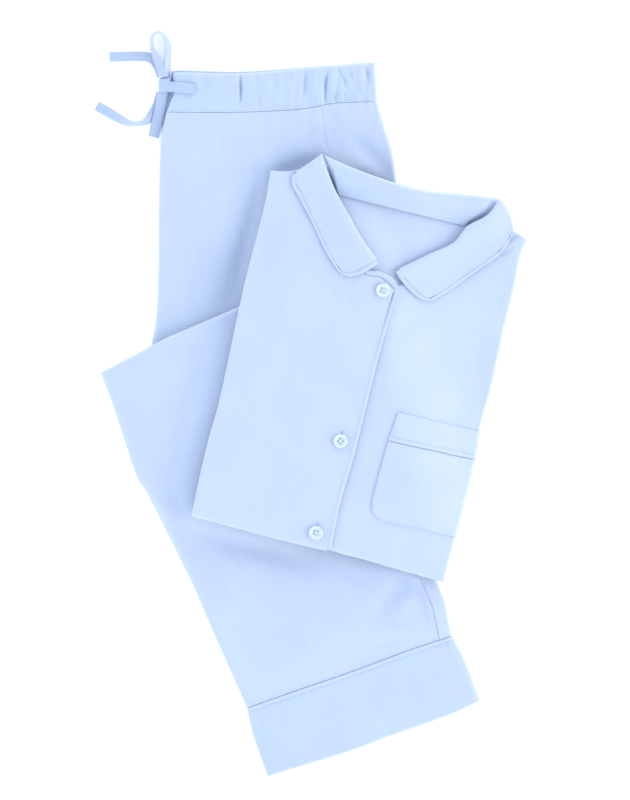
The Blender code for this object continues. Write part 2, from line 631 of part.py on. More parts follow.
def build_buttons(on_right):
    for number, row in enumerate(BUTTONS, 1):
        base = max(on_right(row["x"] + dx, row["y"] + dy) for dx in (-6, 0, 6) for dy in (-6, 0, 6)) + 0.4
        bm = bmesh.new()
        verts = [bm.verts.new(((share * BUTTON / 2) * MM, 0, up * MM)) for share, up in BUTTON_PROFILE]
        edges = [bm.edges.new(pair) for pair in zip(verts, verts[1:])]
        bmesh.ops.spin(bm, geom=verts + edges, axis=(0, 0, 1), cent=(0, 0, 0), angle=math.tau, steps=14)
        bmesh.ops.remove_doubles(bm, verts=bm.verts, dist=1e-6)
        obj = finish("button_%d" % number, bm, PEARL, 0.25)
        obj.location = (row["x"] * MM, row["y"] * MM, base * MM)


# Knot of the bow, a wrapped turn of tape: share of its length, half-width and half-height in mm
KNOT_PROFILE = [(0.0, 4.0, 2.4), (0.08, 5.2, 3.4), (0.28, 5.9, 4.0), (0.72, 5.9, 4.0), (0.92, 5.2, 3.2),
                (1.0, 4.2, 2.4)]
KNOT = dict(x=-137.6, y=302.6, z=4.3, length=12.0)


def build_knot():
    """The knot, with the strand that comes to it over the waistband from its buttonhole."""
    rings = []
    for share, wide, high in KNOT_PROFILE:
        ring = []
        for k in range(10):
            turn = math.tau * k / 10
            ring.append((KNOT["x"] + wide * math.cos(turn), KNOT["y"] + KNOT["length"] * share,
                         KNOT["z"] + high * math.sin(turn)))
        rings.append(ring)
    knot = sweep("tie_knot", rings, COTTON_EDGE)
    band = HIP_HEIGHT + BAND_RISE + 1.2
    strand = tape("strand", [
        dict(x=-109.7, y=304, z=band, stand=0), dict(x=-118, y=304.8, z=band, stand=0),
        dict(x=-125, y=305.4, z=band - 0.1, stand=0), dict(x=-131, y=306, z=band - 1.5, stand=0),
        dict(x=-137, y=306.6, z=band - 4.6, stand=0)], 8, LOOP_WIDE)
    strand.hide_render = True
    strand.display_type = "WIRE"
    joined = knot.modifiers.new("strand", "BOOLEAN")
    joined.operation = "UNION"
    joined.object = strand


def build_drawstring():
    tape("tie_loop_up", [
        dict(x=-135.4, y=315.6, z=5.6, stand=62), dict(x=-135.2, y=325, z=5.6, stand=52),
        dict(x=-134.8, y=335, z=5.6, stand=50), dict(x=-134.8, y=345, z=5.8, stand=52),
        dict(x=-137.6, y=353, z=6.2, stand=66), dict(x=-143.6, y=356.6, z=6.6, stand=76),
        dict(x=-149, y=353.4, z=7.0, stand=76), dict(x=-150, y=346, z=7.2, stand=74),
        dict(x=-149, y=337, z=7.2, stand=74), dict(x=-146, y=329, z=7.2, stand=76),
        dict(x=-142.8, y=321, z=7.2, stand=78), dict(x=-141.4, y=315.6, z=7.0, stand=78)], 24, LOOP_WIDE)
    tape("tie_loop_down", [
        dict(x=-139.6, y=301.6, z=4.4, stand=0), dict(x=-141, y=292, z=3.7, stand=0),
        dict(x=-142.6, y=283, z=3.4, stand=0), dict(x=-144.8, y=275, z=3.0, stand=0),
        dict(x=-148, y=260, z=1.4, stand=0)], 8, LOOP_WIDE)
    tape("tie_tail_1", [
        dict(x=-140.4, y=316.2, z=1.0, stand=0), dict(x=-142.6, y=322, z=0.9, stand=0),
        dict(x=-146.2, y=329, z=0.9, stand=0), dict(x=-152, y=333.4, z=0.9, stand=0),
        dict(x=-161, y=334.4, z=0.9, stand=0), dict(x=-175, y=334.2, z=0.9, stand=0),
        dict(x=-188.8, y=334, z=0.9, stand=0)], 14)
    tape("tie_tail_2", [
        dict(x=-141, y=300.8, z=1.2, stand=0), dict(x=-144, y=291, z=1.1, stand=0),
        dict(x=-148.8, y=281.6, z=1.6, stand=-10), dict(x=-155, y=274.6, z=3.9, stand=-48),
        dict(x=-163, y=271.8, z=4.5, stand=-66), dict(x=-171, y=272.8, z=4.1, stand=-52),
        dict(x=-178, y=276, z=3.2, stand=-32), dict(x=-187, y=281.2, z=1.8, stand=-12),
        dict(x=-200.4, y=289, z=1.0, stand=0)], 20)
    build_knot()


def main():
    clear_scene()
    build_trousers()
    build_shirt()
    build_drawstring()


main()
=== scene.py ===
import math

import bpy
import numpy as np
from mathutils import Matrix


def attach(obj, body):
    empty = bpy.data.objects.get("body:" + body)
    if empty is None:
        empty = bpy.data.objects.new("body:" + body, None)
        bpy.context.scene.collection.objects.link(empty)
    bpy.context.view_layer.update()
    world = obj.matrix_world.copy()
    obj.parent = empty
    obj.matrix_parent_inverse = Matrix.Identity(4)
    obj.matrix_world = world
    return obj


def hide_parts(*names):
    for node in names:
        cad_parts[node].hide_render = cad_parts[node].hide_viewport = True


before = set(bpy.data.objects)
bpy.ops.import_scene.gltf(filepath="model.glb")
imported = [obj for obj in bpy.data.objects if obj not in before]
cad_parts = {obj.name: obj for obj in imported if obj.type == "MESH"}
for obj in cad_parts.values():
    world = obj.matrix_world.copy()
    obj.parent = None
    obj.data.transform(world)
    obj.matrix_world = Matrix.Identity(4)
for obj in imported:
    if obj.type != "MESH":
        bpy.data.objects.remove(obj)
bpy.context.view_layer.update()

# ---- Table, light and camera --------------------------------------------------------------------
# The folded set lies on a white laminate table in a light tent with bright walls and a dim roof. A
# softbox low at the right draws soft shadows to the left, and the camera hangs straight above.

MM = 0.001
WALL_GLOW, ROOF_GLOW = 2.75, 1.1
SOFTBOX_PLACE, SOFTBOX_SIZE, SOFTBOX_POWER = (2.8, -0.7, 1.9), 1.6, 34
TABLE_HALF, TABLE_HEIGHT = 5.0, -0.0004     # metres; its top is a hair below the set
LENS, SENSOR, FAR_CLIP = 400.0, 36.0, 40
VIEW_LONG = 0.736                           # long side of the view on the table, metres
VIEW_CENTRE = (0.0007, 0.0178, 0.014)       # middle of the view, half way up the set
scene = bpy.context.scene
scene.view_settings.view_transform = "Standard"
scene.view_settings.look = "None"


def linear(colour):
    """An sRGB hex colour as linear red, green, blue and alpha."""
    parts = [int(colour[k:k + 2], 16) / 255 for k in (0, 2, 4)]
    return tuple(c / 12.92 if c <= 0.04045 else ((c + 0.055) / 1.055) ** 2.4 for c in parts) + (1.0,)


def give(node, values):
    """Sets sockets of a node."""
    for key, value in values.items():
        node.inputs[key].default_value = value


def add(tree, kind, values=None, links=None, **settings):
    """Adds a node with its settings, socket values and links."""
    new = tree.nodes.new(kind)
    for key, value in settings.items():
        setattr(new, key, value)
    give(new, values or {})
    for key, socket in (links or {}).items():
        tree.links.new(socket, new.inputs[key])
    return new


def new_material(name):
    """A material, its node tree and its shader."""
    material = bpy.data.materials.new(name)
    material.use_nodes = True
    return material, material.node_tree, material.node_tree.nodes["Principled BSDF"]


def put(name, data):
    """An object with this data, linked to the scene."""
    held = bpy.data.objects.new(name, data)
    scene.collection.objects.link(held)
    return held


tent = bpy.data.worlds.new("light_tent")
tent.use_nodes = True
inside = tent.node_tree
toward = add(inside, "ShaderNodeTexCoord")
upward = add(inside, "ShaderNodeSeparateXYZ", links={0: toward.outputs["Generated"]})
roof = add(inside, "ShaderNodeMapRange", {"From Min": 0.3, "From Max": 0.7},
           {"Value": upward.outputs["Z"]}, interpolation_type="SMOOTHSTEP")
cast = add(inside, "ShaderNodeMix", {"A": linear("F4F6FF"), "B": linear("CCE3FF")},
           {"Factor": roof.outputs[0]}, data_type="RGBA")
glow = add(inside, "ShaderNodeMapRange",
           {"From Min": 0.0, "From Max": 1.0, "To Min": WALL_GLOW, "To Max": ROOF_GLOW},
           {"Value": roof.outputs[0]})
inside.links.new(cast.outputs["Result"], inside.nodes["Background"].inputs["Color"])
inside.links.new(glow.outputs[0], inside.nodes["Background"].inputs["Strength"])
scene.world = tent

light = bpy.data.lights.new("softbox_right", "AREA")
light.shape = "SQUARE"
light.size = SOFTBOX_SIZE
light.energy = SOFTBOX_POWER
light.color = linear("FFF1E0")[:3]
softbox = put("softbox_right", light)
softbox.location = SOFTBOX_PLACE
softbox.rotation_euler = (-softbox.location).to_track_quat("-Z", "Y").to_euler()
softbox.visible_camera = False

# White laminate: matt, with a little light of its own that keeps it clear white round the set
laminate, _, face = new_material("white_laminate")
give(face, {"Base Color": linear("F6F7F8"), "Roughness": 0.8, "Emission Color": linear("FFFFFF"),
            "Emission Strength": 0.3})
corners = [(x * TABLE_HALF, y * TABLE_HALF, TABLE_HEIGHT)
           for x, y in ((-1, -1), (1, -1), (1, 1), (-1, 1))]
table_mesh = bpy.data.meshes.new("table_top")
table_mesh.from_pydata(corners, [], [(0, 1, 2, 3)])
table_mesh.materials.append(laminate)
table_top = put("table_top", table_mesh)

camera = bpy.data.cameras.new("overhead")
camera.lens = LENS
camera.sensor_width = SENSOR
camera.clip_end = FAR_CLIP
overhead = put("overhead", camera)
overhead.location = (VIEW_CENTRE[0], VIEW_CENTRE[1], VIEW_CENTRE[2] + VIEW_LONG * LENS / SENSOR)
scene.camera = overhead

# ---- Drawstring ---------------------------------------------------------------------------------
# A flat tie cut from the shirting, folded in four and edge-stitched, so it is about a millimetre
# thick. It leaves a buttonhole in the waistband and is tied in a small bow beside it.

WEAVE_SCALE = 2000 / math.tau               # a wave texture's scale for threads a millimetre apart
TAPE_WIDE, LOOP_WIDE, TAPE_THICK = 9.0, 9.6, 1.3
AROUND = 20                                 # points round the tape
TURN_SHARE = 0.001                          # weight of a degree of turn beside a millimetre of route
GROOVE_AT, GROOVE_HALF, GROOVE_DEEP = 0.37, 0.05, 0.3    # edge stitching, in shares of the tape
BAND_TOP = 9.4
KNOT_X, KNOT_Y, KNOT_Z, KNOT_LONG = -137.6, 302.6, 4.3, 12.0
KNOT_RINGS, KNOT_AROUND = 33, 40


def curve(points):
    """Smooth curve through points; what it returns takes shares of the curve's length."""
    pts = np.array(points, float)
    reach = np.concatenate([[0], np.cumsum(np.linalg.norm(np.diff(pts, axis=0), axis=1))])
    low = np.maximum(np.arange(len(pts)) - 1, 0)
    high = np.minimum(np.arange(len(pts)) + 1, len(pts) - 1)
    slope = (pts[high] - pts[low]) / (reach[high] - reach[low])[:, None]

    def at(share):
        s = np.clip(np.asarray(share, float), 0, 1) * reach[-1]
        k = np.clip(np.searchsorted(reach, s) - 1, 0, len(pts) - 2)
        span = reach[k + 1] - reach[k]
        w = (s - reach[k]) / span
        rise = (w * w * (3 - 2 * w))[..., None]
        ease = (w * (1 - w) ** 2 * span)[..., None]
        back = (w * w * (1 - w) * span)[..., None]
        return pts[k] * (1 - rise) + pts[k + 1] * rise + slope[k] * ease - slope[k + 1] * back

    at.length = reach[-1]
    return at


def unit(v):
    """Vectors brought to a length of 1."""
    return v / np.maximum(np.linalg.norm(v, axis=-1, keepdims=True), 1e-9)


def turns(count):
    """Even steps of one full turn, in radians."""
    return np.arange(count) * math.tau / count


def boxy(wave, power):
    """A wave of -1 to 1 pushed outwards, which squares the ring it draws."""
    return np.sign(wave) * np.abs(wave) ** power


def make(name, points, quads, material, uv=None, sharp=50):
    """A closed piece from points in millimetres and rows of four corners, its faces turned outwards."""
    points = np.asarray(points, float).reshape(-1, 3)
    quads = np.asarray(quads)
    a, b, c, d = (points[quads[:, k]] for k in range(4))
    if (a * (np.cross(b, c) + np.cross(c, d))).sum() < 0:
        quads = quads[:, ::-1]
    mesh = bpy.data.meshes.new(name)
    mesh.from_pydata((points * MM).tolist(), [], quads.tolist())
    if uv is not None:
        corner = np.zeros(len(mesh.loops), np.int32)
        mesh.loops.foreach_get("vertex_index", corner)
        flat = (np.asarray(uv).reshape(-1, 2) * MM)[corner].ravel()
        mesh.uv_layers.new(name="cut").data.foreach_set("uv", flat)
    mesh.shade_smooth()
    mesh.set_sharp_from_angle(angle=math.radians(sharp))
    mesh.materials.append(material)
    return put(name, mesh)


def tubes(name, stacks, material, uvs=(), sharp=50):
    """A piece of one or more tubes, each a stack of rings with its two ends filled."""
    points, quads = [], []
    for rings in stacks:
        count, around = np.shape(rings)[:2]
        i, k = np.meshgrid(np.arange(count - 1) * around, np.arange(around), indexing="ij")
        n = (k + 1) % around
        sides = np.stack([i + k, i + n, i + around + n, i + around + k], -1)
        k = np.arange(around // 2 - 1)
        cap = np.stack([k, k + 1, around - 2 - k, around - 1 - k], -1)
        walls = np.concatenate([sides.reshape(-1, 4), cap[:, ::-1], cap + (count - 1) * around])
        quads.append(walls + sum(map(len, points)))
        points.append(np.reshape(rings, (-1, 3)))
    uv = np.concatenate([np.reshape(rows, (-1, 2)) for rows in uvs]) if uvs else None
    return make(name, np.concatenate(points), np.concatenate(quads), material, uv, sharp)


def dress(piece, nodes):
    """Rides a piece on the set and lets it stand for its nodes of the frame."""
    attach(piece, "root")
    if nodes:
        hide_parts(*nodes)
    return piece


def sateen(name, lit, clouds=0.035):
    """Cotton sateen: fine warp threads on the face give it a soft sheen and faint lengthwise streaks.

    Its threads are drawn a millimetre apart, a few times the real spacing, so that they show close by.
    """
    material, tree, face = new_material(name)
    cut = add(tree, "ShaderNodeUVMap", uv_map="cut")
    slubs = add(tree, "ShaderNodeMapping", {"Scale": (700, 24, 1)}, {"Vector": cut.outputs["UV"]})
    streaks = add(tree, "ShaderNodeTexNoise", {"Scale": 1.0, "Detail": 2.0, "Roughness": 0.6},
                  {"Vector": slubs.outputs["Vector"]}, noise_dimensions="2D")
    broad = add(tree, "ShaderNodeTexNoise", {"Scale": 22.0, "Detail": 3.0, "Roughness": 0.5},
                {"Vector": cut.outputs["UV"]}, noise_dimensions="2D")
    both = add(tree, "ShaderNodeMix", {"Factor": 0.5}, {"A": streaks.outputs[0], "B": broad.outputs[0]},
               data_type="FLOAT")
    tone = add(tree, "ShaderNodeMapRange",
               {"From Min": 0.3, "From Max": 0.7, "To Min": 1 - clouds, "To Max": 1 + clouds},
               {"Value": both.outputs[0]})
    dyed = add(tree, "ShaderNodeVectorMath", {0: linear(lit)[:3]}, {"Scale": tone.outputs["Result"]},
               operation="SCALE")
    tree.links.new(dyed.outputs["Vector"], face.inputs["Base Color"])
    bands = {"Scale": WEAVE_SCALE, "Distortion": 0.5, "Detail": 1.0}
    warp, weft = (add(tree, "ShaderNodeTexWave", bands, {"Vector": cut.outputs["UV"]},
                      bands_direction=way) for way in "XY")
    weave = add(tree, "ShaderNodeMix", {"Factor": 0.3}, {"A": warp.outputs[1], "B": weft.outputs[1]},
                data_type="FLOAT")
    relief = add(tree, "ShaderNodeBump", {"Strength": 0.25, "Distance": 0.0001},
                 {"Height": weave.outputs[0]})
    tree.links.new(relief.outputs["Normal"], face.inputs["Normal"])
    give(face, {"Roughness": 0.5, "IOR": 1.46, "Specular IOR Level": 0.15, "Sheen Weight": 0.08,
                "Sheen Roughness": 0.45, "Sheen Tint": linear("DCE9FF")})
    return material


def tape(route, width):
    """Centreline, rings and cut of a flat tape along a route."""
    course = curve([(*row[:3], row[3] * TURN_SHARE) for row in route])
    share = np.linspace(0, 1, int(course.length) + 1)
    rows = course(share)
    centre = rows[:, :3]
    ahead = unit(np.gradient(centre, axis=0))
    flat = unit(np.cross((0, 0, 1), ahead))
    up = np.cross(ahead, flat)
    lean = np.radians(rows[:, 3:] / TURN_SHARE)
    wide = flat * np.cos(lean) + up * np.sin(lean)
    thin = np.cross(ahead, wide)
    a = 0.5 * boxy(np.cos(turns(AROUND)), 0.45)
    b = 0.5 * boxy(np.sin(turns(AROUND)), 0.6)
    b = b * (1 - GROOVE_DEEP * np.exp(-((np.abs(a) - GROOVE_AT) / GROOVE_HALF) ** 2))
    rings = (centre[:, None] + wide[:, None] * (a * width)[:, None]
             + thin[:, None] * (b * TAPE_THICK)[:, None])
    across = a * width * 0.5 + np.sign(b) * 7      # its upper and lower faces lie apart in the cut
    uv = np.stack(np.broadcast_arrays(across, share[:, None] * course.length), -1)
    return centre, rings, uv


# The panels' sateen painted a shade deeper: painted shade on the tie
tie_cotton_painted_shade = sateen("tie_cotton_painted_shade", "B0BCCF")

# Routes of the tape from the knot outwards: x, y, z and the stand of its width in degrees
LOOP_UP = [
    (-135.4, 315.6, 5.6, 62), (-135.2, 325, 5.6, 52), (-134.8, 335, 5.6, 50), (-134.8, 345, 5.8, 52),
    (-137.6, 353, 6.2, 66), (-143.6, 356.6, 6.6, 76), (-149, 353.4, 7.0, 76), (-150, 346, 7.2, 72),
    (-147.4, 337, 7.4, 58), (-143.6, 329, 7.6, 38), (-141, 321, 7.6, 34), (-140, 315.6, 7.2, 40)]
LOOP_DOWN = [
    (-139.6, 301.6, 4.4, 0), (-141, 292, 3.7, 0), (-142.6, 283, 3.4, 0), (-144.8, 275, 3.0, 0),
    (-148, 260, 1.4, 0)]
TAIL_LONG = [
    (-140.4, 316.2, 1.0, 0), (-142.6, 322, 0.9, 0), (-146.2, 329, 0.9, 0), (-152, 333.4, 0.9, 0),
    (-161, 334.4, 0.9, 0), (-175, 334.2, 0.9, 0), (-188.8, 334, 0.9, 0)]
TAIL_CURLED = [
    (-141, 300.8, 1.2, 0), (-144, 291, 1.1, 0), (-148.8, 281.6, 1.6, -10), (-155, 274.6, 3.9, -48),
    (-163, 271.8, 4.5, -66), (-171, 272.8, 4.1, -52), (-178, 276, 3.2, -32), (-187, 281.2, 1.8, -12),
    (-200.4, 289, 1.0, 0)]
STRAND = [
    (-109.7, 304, BAND_TOP + 1.2, 0), (-118, 304.8, BAND_TOP + 1.2, 0),
    (-125, 305.4, BAND_TOP + 1.1, 0), (-131, 306, BAND_TOP - 0.3, 0), (-137, 306.6, BAND_TOP - 3.4, 0)]

tie = {}
for name, node, route, width in (("drawstring_loop_up", "tie_loop_up", LOOP_UP, LOOP_WIDE),
                                 ("drawstring_loop_down", "tie_loop_down", LOOP_DOWN, LOOP_WIDE),
                                 ("drawstring_tail_long", "tie_tail_1", TAIL_LONG, TAPE_WIDE),
                                 ("drawstring_tail_curled", "tie_tail_2", TAIL_CURLED, TAPE_WIDE)):
    centre, rings, uv = tape(route, width)
    tie[name] = (dress(tubes(name, [rings], tie_cotton_painted_shade, [uv]), [node]), centre, width)

# The knot is one flat wrap of the tape round the crossing, with the strand running into it. Its
# profile has the share of its length, its half width and its half thickness.
KNOT_PROFILE = [
    (-0.02, 3.2, 1.6), (0.0, 4.3, 2.6), (0.06, 5.3, 3.4), (0.2, 5.9, 3.9), (0.5, 6.0, 4.1),
    (0.8, 5.9, 3.9), (0.94, 5.3, 3.2), (1.0, 4.4, 2.5), (1.02, 3.2, 1.6)]
share, half_wide, half_thick = np.split(curve(KNOT_PROFILE)(np.linspace(0, 1, KNOT_RINGS)), 3, axis=1)
turn = turns(KNOT_AROUND)
sides = boxy(np.cos(turn), 0.75) * (1 + 0.02 * np.sin(3 * turn + 0.6))
knot_rings = np.stack(np.broadcast_arrays(
    KNOT_X + half_wide * sides, KNOT_Y + KNOT_LONG * share + 0.8 * np.cos(turn + 0.9),
    KNOT_Z + half_thick * np.sin(turn)), -1)
knot_uv = np.stack(np.broadcast_arrays(turn * 4, KNOT_LONG * share), -1)
_, strand_rings, strand_uv = tape(STRAND, LOOP_WIDE)
knot = tubes("drawstring_knot", [knot_rings, strand_rings], tie_cotton_painted_shade, [knot_uv, strand_uv])
dress(knot, ["tie_knot"])

for name, carried, far_end in (("drawstring_loop_up", [knot, tie["drawstring_loop_down"][0]], "object"),
                               ("drawstring_tail_long", [], "bare"),
                               ("drawstring_tail_curled", [], "bare")):
    piece, path, width = tie[name]

# ---- Trousers -----------------------------------------------------------------------------------
# Cotton sateen trousers folded leg on leg, then once more across the thigh so that both legs come
# back over the hip at a slant. Elastic gathers the waistband, and each leg ends in a piped cuff.

CLOTH = 1.3                                 # wall of one cloth piece with its seam allowances
SEAM = -0.15                                # panels sewn together run into each other by this much
AIR = 2.4                                   # room between a panel and the layers under it
PITCH, FINE, EDGE_ZONE = 2.2, 1.0, 9.0      # a panel's spacing, the closer one by its edges, its zone
STACK_PITCH, RAGGED = 4.0, 0.45             # spacing of folded layers, how unevenly their plies end
SET_BACK, PLY_BULGE = 2.6, 1.5              # their edge between two plies, and each ply's bulge
LEAST_HIGH, CROWN_HIGH = 0.6, 0.4           # least height of their edge and crown over what is under
SHOULDER_OUT, SHOULDER_UP = 0.4, 0.25       # a ring that rounds their upper edge
HIP_HEIGHT, BAND_RISE, BAND_EASE = 6.0, 3.4, 30
BED_RISE, BED_EASE = 1.4, 20                # the layers under the hip, near the band
LEG_SINGLE, LEG_DOUBLE = 5.2, 8.2
DOUBLE_END, DOUBLE_EASE = -50, 60           # where the part folded back under the leg ends
LEG_GAP, LEG_BRIDGE = 1.2, 54               # the leg over the hip, and how far it bridges beside it
HIP_SEAM, LEG_SEAM = 0.735, 0.94            # side seams, as shares of the width
SEAM_X, SEAM_Y, SEAM_SLOPE = -135, 283, 0.052       # the waistband's seam
BAND_MIDDLE = 303
PIPING = 4.0
PUCKER_HIGH, PUCKER_PITCH, PUCKER_REACH = 0.14, 8.5, 5.0

# The panels' sateen: pale, with its soft sheen and faint streaks
trouser_cotton = sateen("trouser_cotton", "BDC6D7")
# The waistband, the cuff and the collar stand are doubled cloth. Their sateen is painted a shade deeper
# than the rest as painted shade, and the band's far layers use it too
doubled_cotton_painted_shade = sateen("doubled_cotton_painted_shade", "B9C4D6")
# Bias strips of the same sateen, too narrow to show its clouds
piping_cotton = sateen("piping_cotton", "BDC6D7", 0.02)


class Patch:
    """Plan of a piece of cloth between four edges: u runs left to right, v from top to bottom."""

    def __init__(self, left, right, top, bottom):
        self.left, self.right, self.top, self.bottom = (curve(e) for e in (left, right, top, bottom))
        self.wide = (self.top.length + self.bottom.length) / 2
        self.long = (self.left.length + self.right.length) / 2
        self.cut = (max(self.top.length, self.bottom.length), max(self.left.length, self.right.length))

    def at(self, u, v):
        u, v = np.broadcast_arrays(np.asarray(u, float), np.asarray(v, float))
        s, t = u[..., None], v[..., None]
        across = self.top(u) * (1 - t) + self.bottom(u) * t
        down = self.left(v) * (1 - s) + self.right(v) * s
        above = self.top(0.0) * (1 - s) + self.top(1.0) * s
        below = self.bottom(0.0) * (1 - s) + self.bottom(1.0) * s
        return across + down - above * (1 - t) - below * t

    def outline(self, count=14):
        t = np.arange(count) / count
        return np.concatenate([self.top(t), self.right(t), self.bottom(1 - t), self.left(1 - t)])


def near_line(line, x, y):
    """Distance of plan points from a line of points, the share of it passed, and its length."""
    best, along, reach = np.full(x.shape, 1e9), np.zeros(x.shape), 0.0
    for a, b in zip(line, line[1:]):
        step = b - a
        span = math.hypot(*step)
        t = np.clip(((x - a[0]) * step[0] + (y - a[1]) * step[1]) / span ** 2, 0, 1)
        off = np.hypot(x - a[0] - step[0] * t, y - a[1] - step[1] * t)
        along = np.where(off < best, reach + t * span, along)
        best = np.minimum(best, off)
        reach += span
    return best, along / reach, reach


def outside(ring, x, y):
    """Distance of plan points from a closed outline, zero inside it."""
    inside = np.zeros(x.shape, bool)
    for (ax, ay), (bx, by) in zip(ring, np.roll(ring, -1, axis=0)):
        if ay != by:
            inside ^= ((ay > y) != (by > y)) & (x < (bx - ax) * (y - ay) / (by - ay) + ax)
    return np.where(inside, 0.0, near_line(np.vstack([ring, ring[:1]]), x, y)[0])


def fall(distance, reach):
    """1 up to zero distance, easing to 0 at the reach."""
    return 0.5 + 0.5 * np.cos(np.pi * np.clip(distance / reach, 0, 1))


def folds(rows, x, y):
    """Soft folds that fade at their ends, each row a fold's course, half-width and height.

    A negative height makes a hollow.
    """
    total = np.zeros(x.shape)
    for course, half, high in rows:
        off, along, _ = near_line(curve(course)(np.linspace(0, 1, 9)), x, y)
        total += high * np.exp(-((off / half) ** 2)) * np.sin(np.pi * along) ** 0.6
    return total


def pucker(line, x, y):
    """Small puckers that a row of stitching draws up beside it."""
    off, along, long = near_line(line, x, y)
    way = along * long
    wave = np.sin(math.tau * way / PUCKER_PITCH + 1.8 * np.sin(way / 23))
    return PUCKER_HIGH * wave * np.exp(-off / PUCKER_REACH)


def drift(x, y, high):
    """Slow unevenness of cloth smoothed flat by hand."""
    broad = np.sin(x / 31 + y / 47 + 0.6) + 0.8 * np.sin(x / 19 - y / 38 + 2.1)
    return high * (broad + 0.7 * np.sin(y / 23 + x / 90)) / 2


def level(height):
    """A level surface, as a height function of plan points."""
    return lambda x, y: height + 0 * x


def raised(top, by):
    """A height function lifted by so much, or sunk where that is negative."""
    return lambda x, y: top(x, y) + by


# An edge profile runs from the cloth's very edge inwards: shares of its radius and depth, then the
# way from the outer face to the inner one, inwards and down.
def quarter(start, count):
    turn = np.radians(np.linspace(start, 90, count))
    across, up = np.cos(turn), np.sin(turn)
    return np.stack([1 - across, (1 - up) / (1 - up[0]), across, up], -1)


def dip(*rows):
    """A profile that only sinks towards the edge: its ways in and its depths, in millimetres."""
    return np.array([(way, deep, 0.0, 1.0) for way, deep in rows])


FOLDED, TURNED, FLAT = quarter(-35, 10), quarter(0, 6), dip((0, 0))
# The two sides of piping between cloths: one sinks into its seam, the other only dips.
DITCH = dip((0, 1.9), (0.3, 0.8), (0.9, 0.1), (2, 0))
CORDED = dip((0, 1), (0.25, 0.4), (0.8, 0.08), (2, 0))


def edge(profile, radius=1.0, depth=1.0, start=0.0):
    return profile * (radius, depth, 1, 1) + (start, 0, 0, 0)


def stations(size, low, high, pitch=PITCH, fine=FINE):
    """Stations across a patch between two edge profiles, closer together beside them."""
    a, b = low[-1][0], size - high[-1][0]
    near = np.arange(a + fine, min(a + EDGE_ZONE, (a + b) / 2), fine)
    far = (a + b) - near[::-1]
    middle = [(a + b) / 2]
    if len(near):
        middle = np.linspace(near[-1], far[0], max(int((far[0] - near[-1]) / pitch), 1) + 1)[1:-1]
    inner = np.concatenate([near, middle, far])
    rows = np.stack([inner, inner * 0, inner * 0, inner * 0 + 1], -1)
    other = high[::-1] * (-1, 1, -1, 1) + (size, 0, 0, 0)
    return np.concatenate([low, rows, other]) * (1 / size, 1, 1, 1)


def grid_quads(rows, cols, first=0):
    i, j = np.meshgrid(np.arange(rows - 1), np.arange(cols - 1), indexing="ij")
    k = first + i * cols + j
    return np.stack([k, k + 1, k + cols + 1, k + cols], -1).reshape(-1, 4)


def border(rows, cols):
    """Row and column of each cell on the border of a grid, once round."""
    loop = [(0, j) for j in range(cols)] + [(i, cols - 1) for i in range(1, rows)]
    return np.array(loop + [(rows - 1, j) for j in range(cols - 2, -1, -1)]
                    + [(i, 0) for i in range(rows - 2, 0, -1)]).T


def cloth(name, node, patch, top, columns, rows, material, thick=CLOTH, floor=None):
    """Closed wall of cloth over a patch: outer face, inner face and the rim between them.

    Columns and rows hold the edge profiles of its sides and of its ends, then the spacing of its
    stations where that isn't the usual one.
    """
    u, drop_u, nu, zu = stations(patch.wide, *columns).T
    v, drop_v, nv, zv = stations(patch.long, *rows).T
    u, v = np.meshgrid(u, v)
    p = patch.at(u, v)
    z = top(p[..., 0], p[..., 1]) - np.maximum(drop_u[None], drop_v[:, None])
    if floor:
        z = np.maximum(z, floor(p[..., 0], p[..., 1]))
    q = patch.at(u + thick * nu[None] / patch.wide, v + thick * nv[:, None] / patch.long)
    outer = np.concatenate([p, z[..., None]], -1)
    inner = np.concatenate([q, (z - thick * np.minimum(zu[None], zv[:, None]))[..., None]], -1)
    i, j = border(*u.shape)
    k = i * u.shape[1] + j
    n, under = np.roll(k, -1), u.size
    quads = np.concatenate([grid_quads(*u.shape), grid_quads(*u.shape, under)[:, ::-1],
                            np.stack([n, k, k + under, n + under], -1)])
    uv = np.stack([u * patch.wide, v * patch.long], -1)
    piece = make(name, np.stack([outer, inner]), quads, material, np.stack([uv, uv]))
    return dress(piece, [node] if node else [])


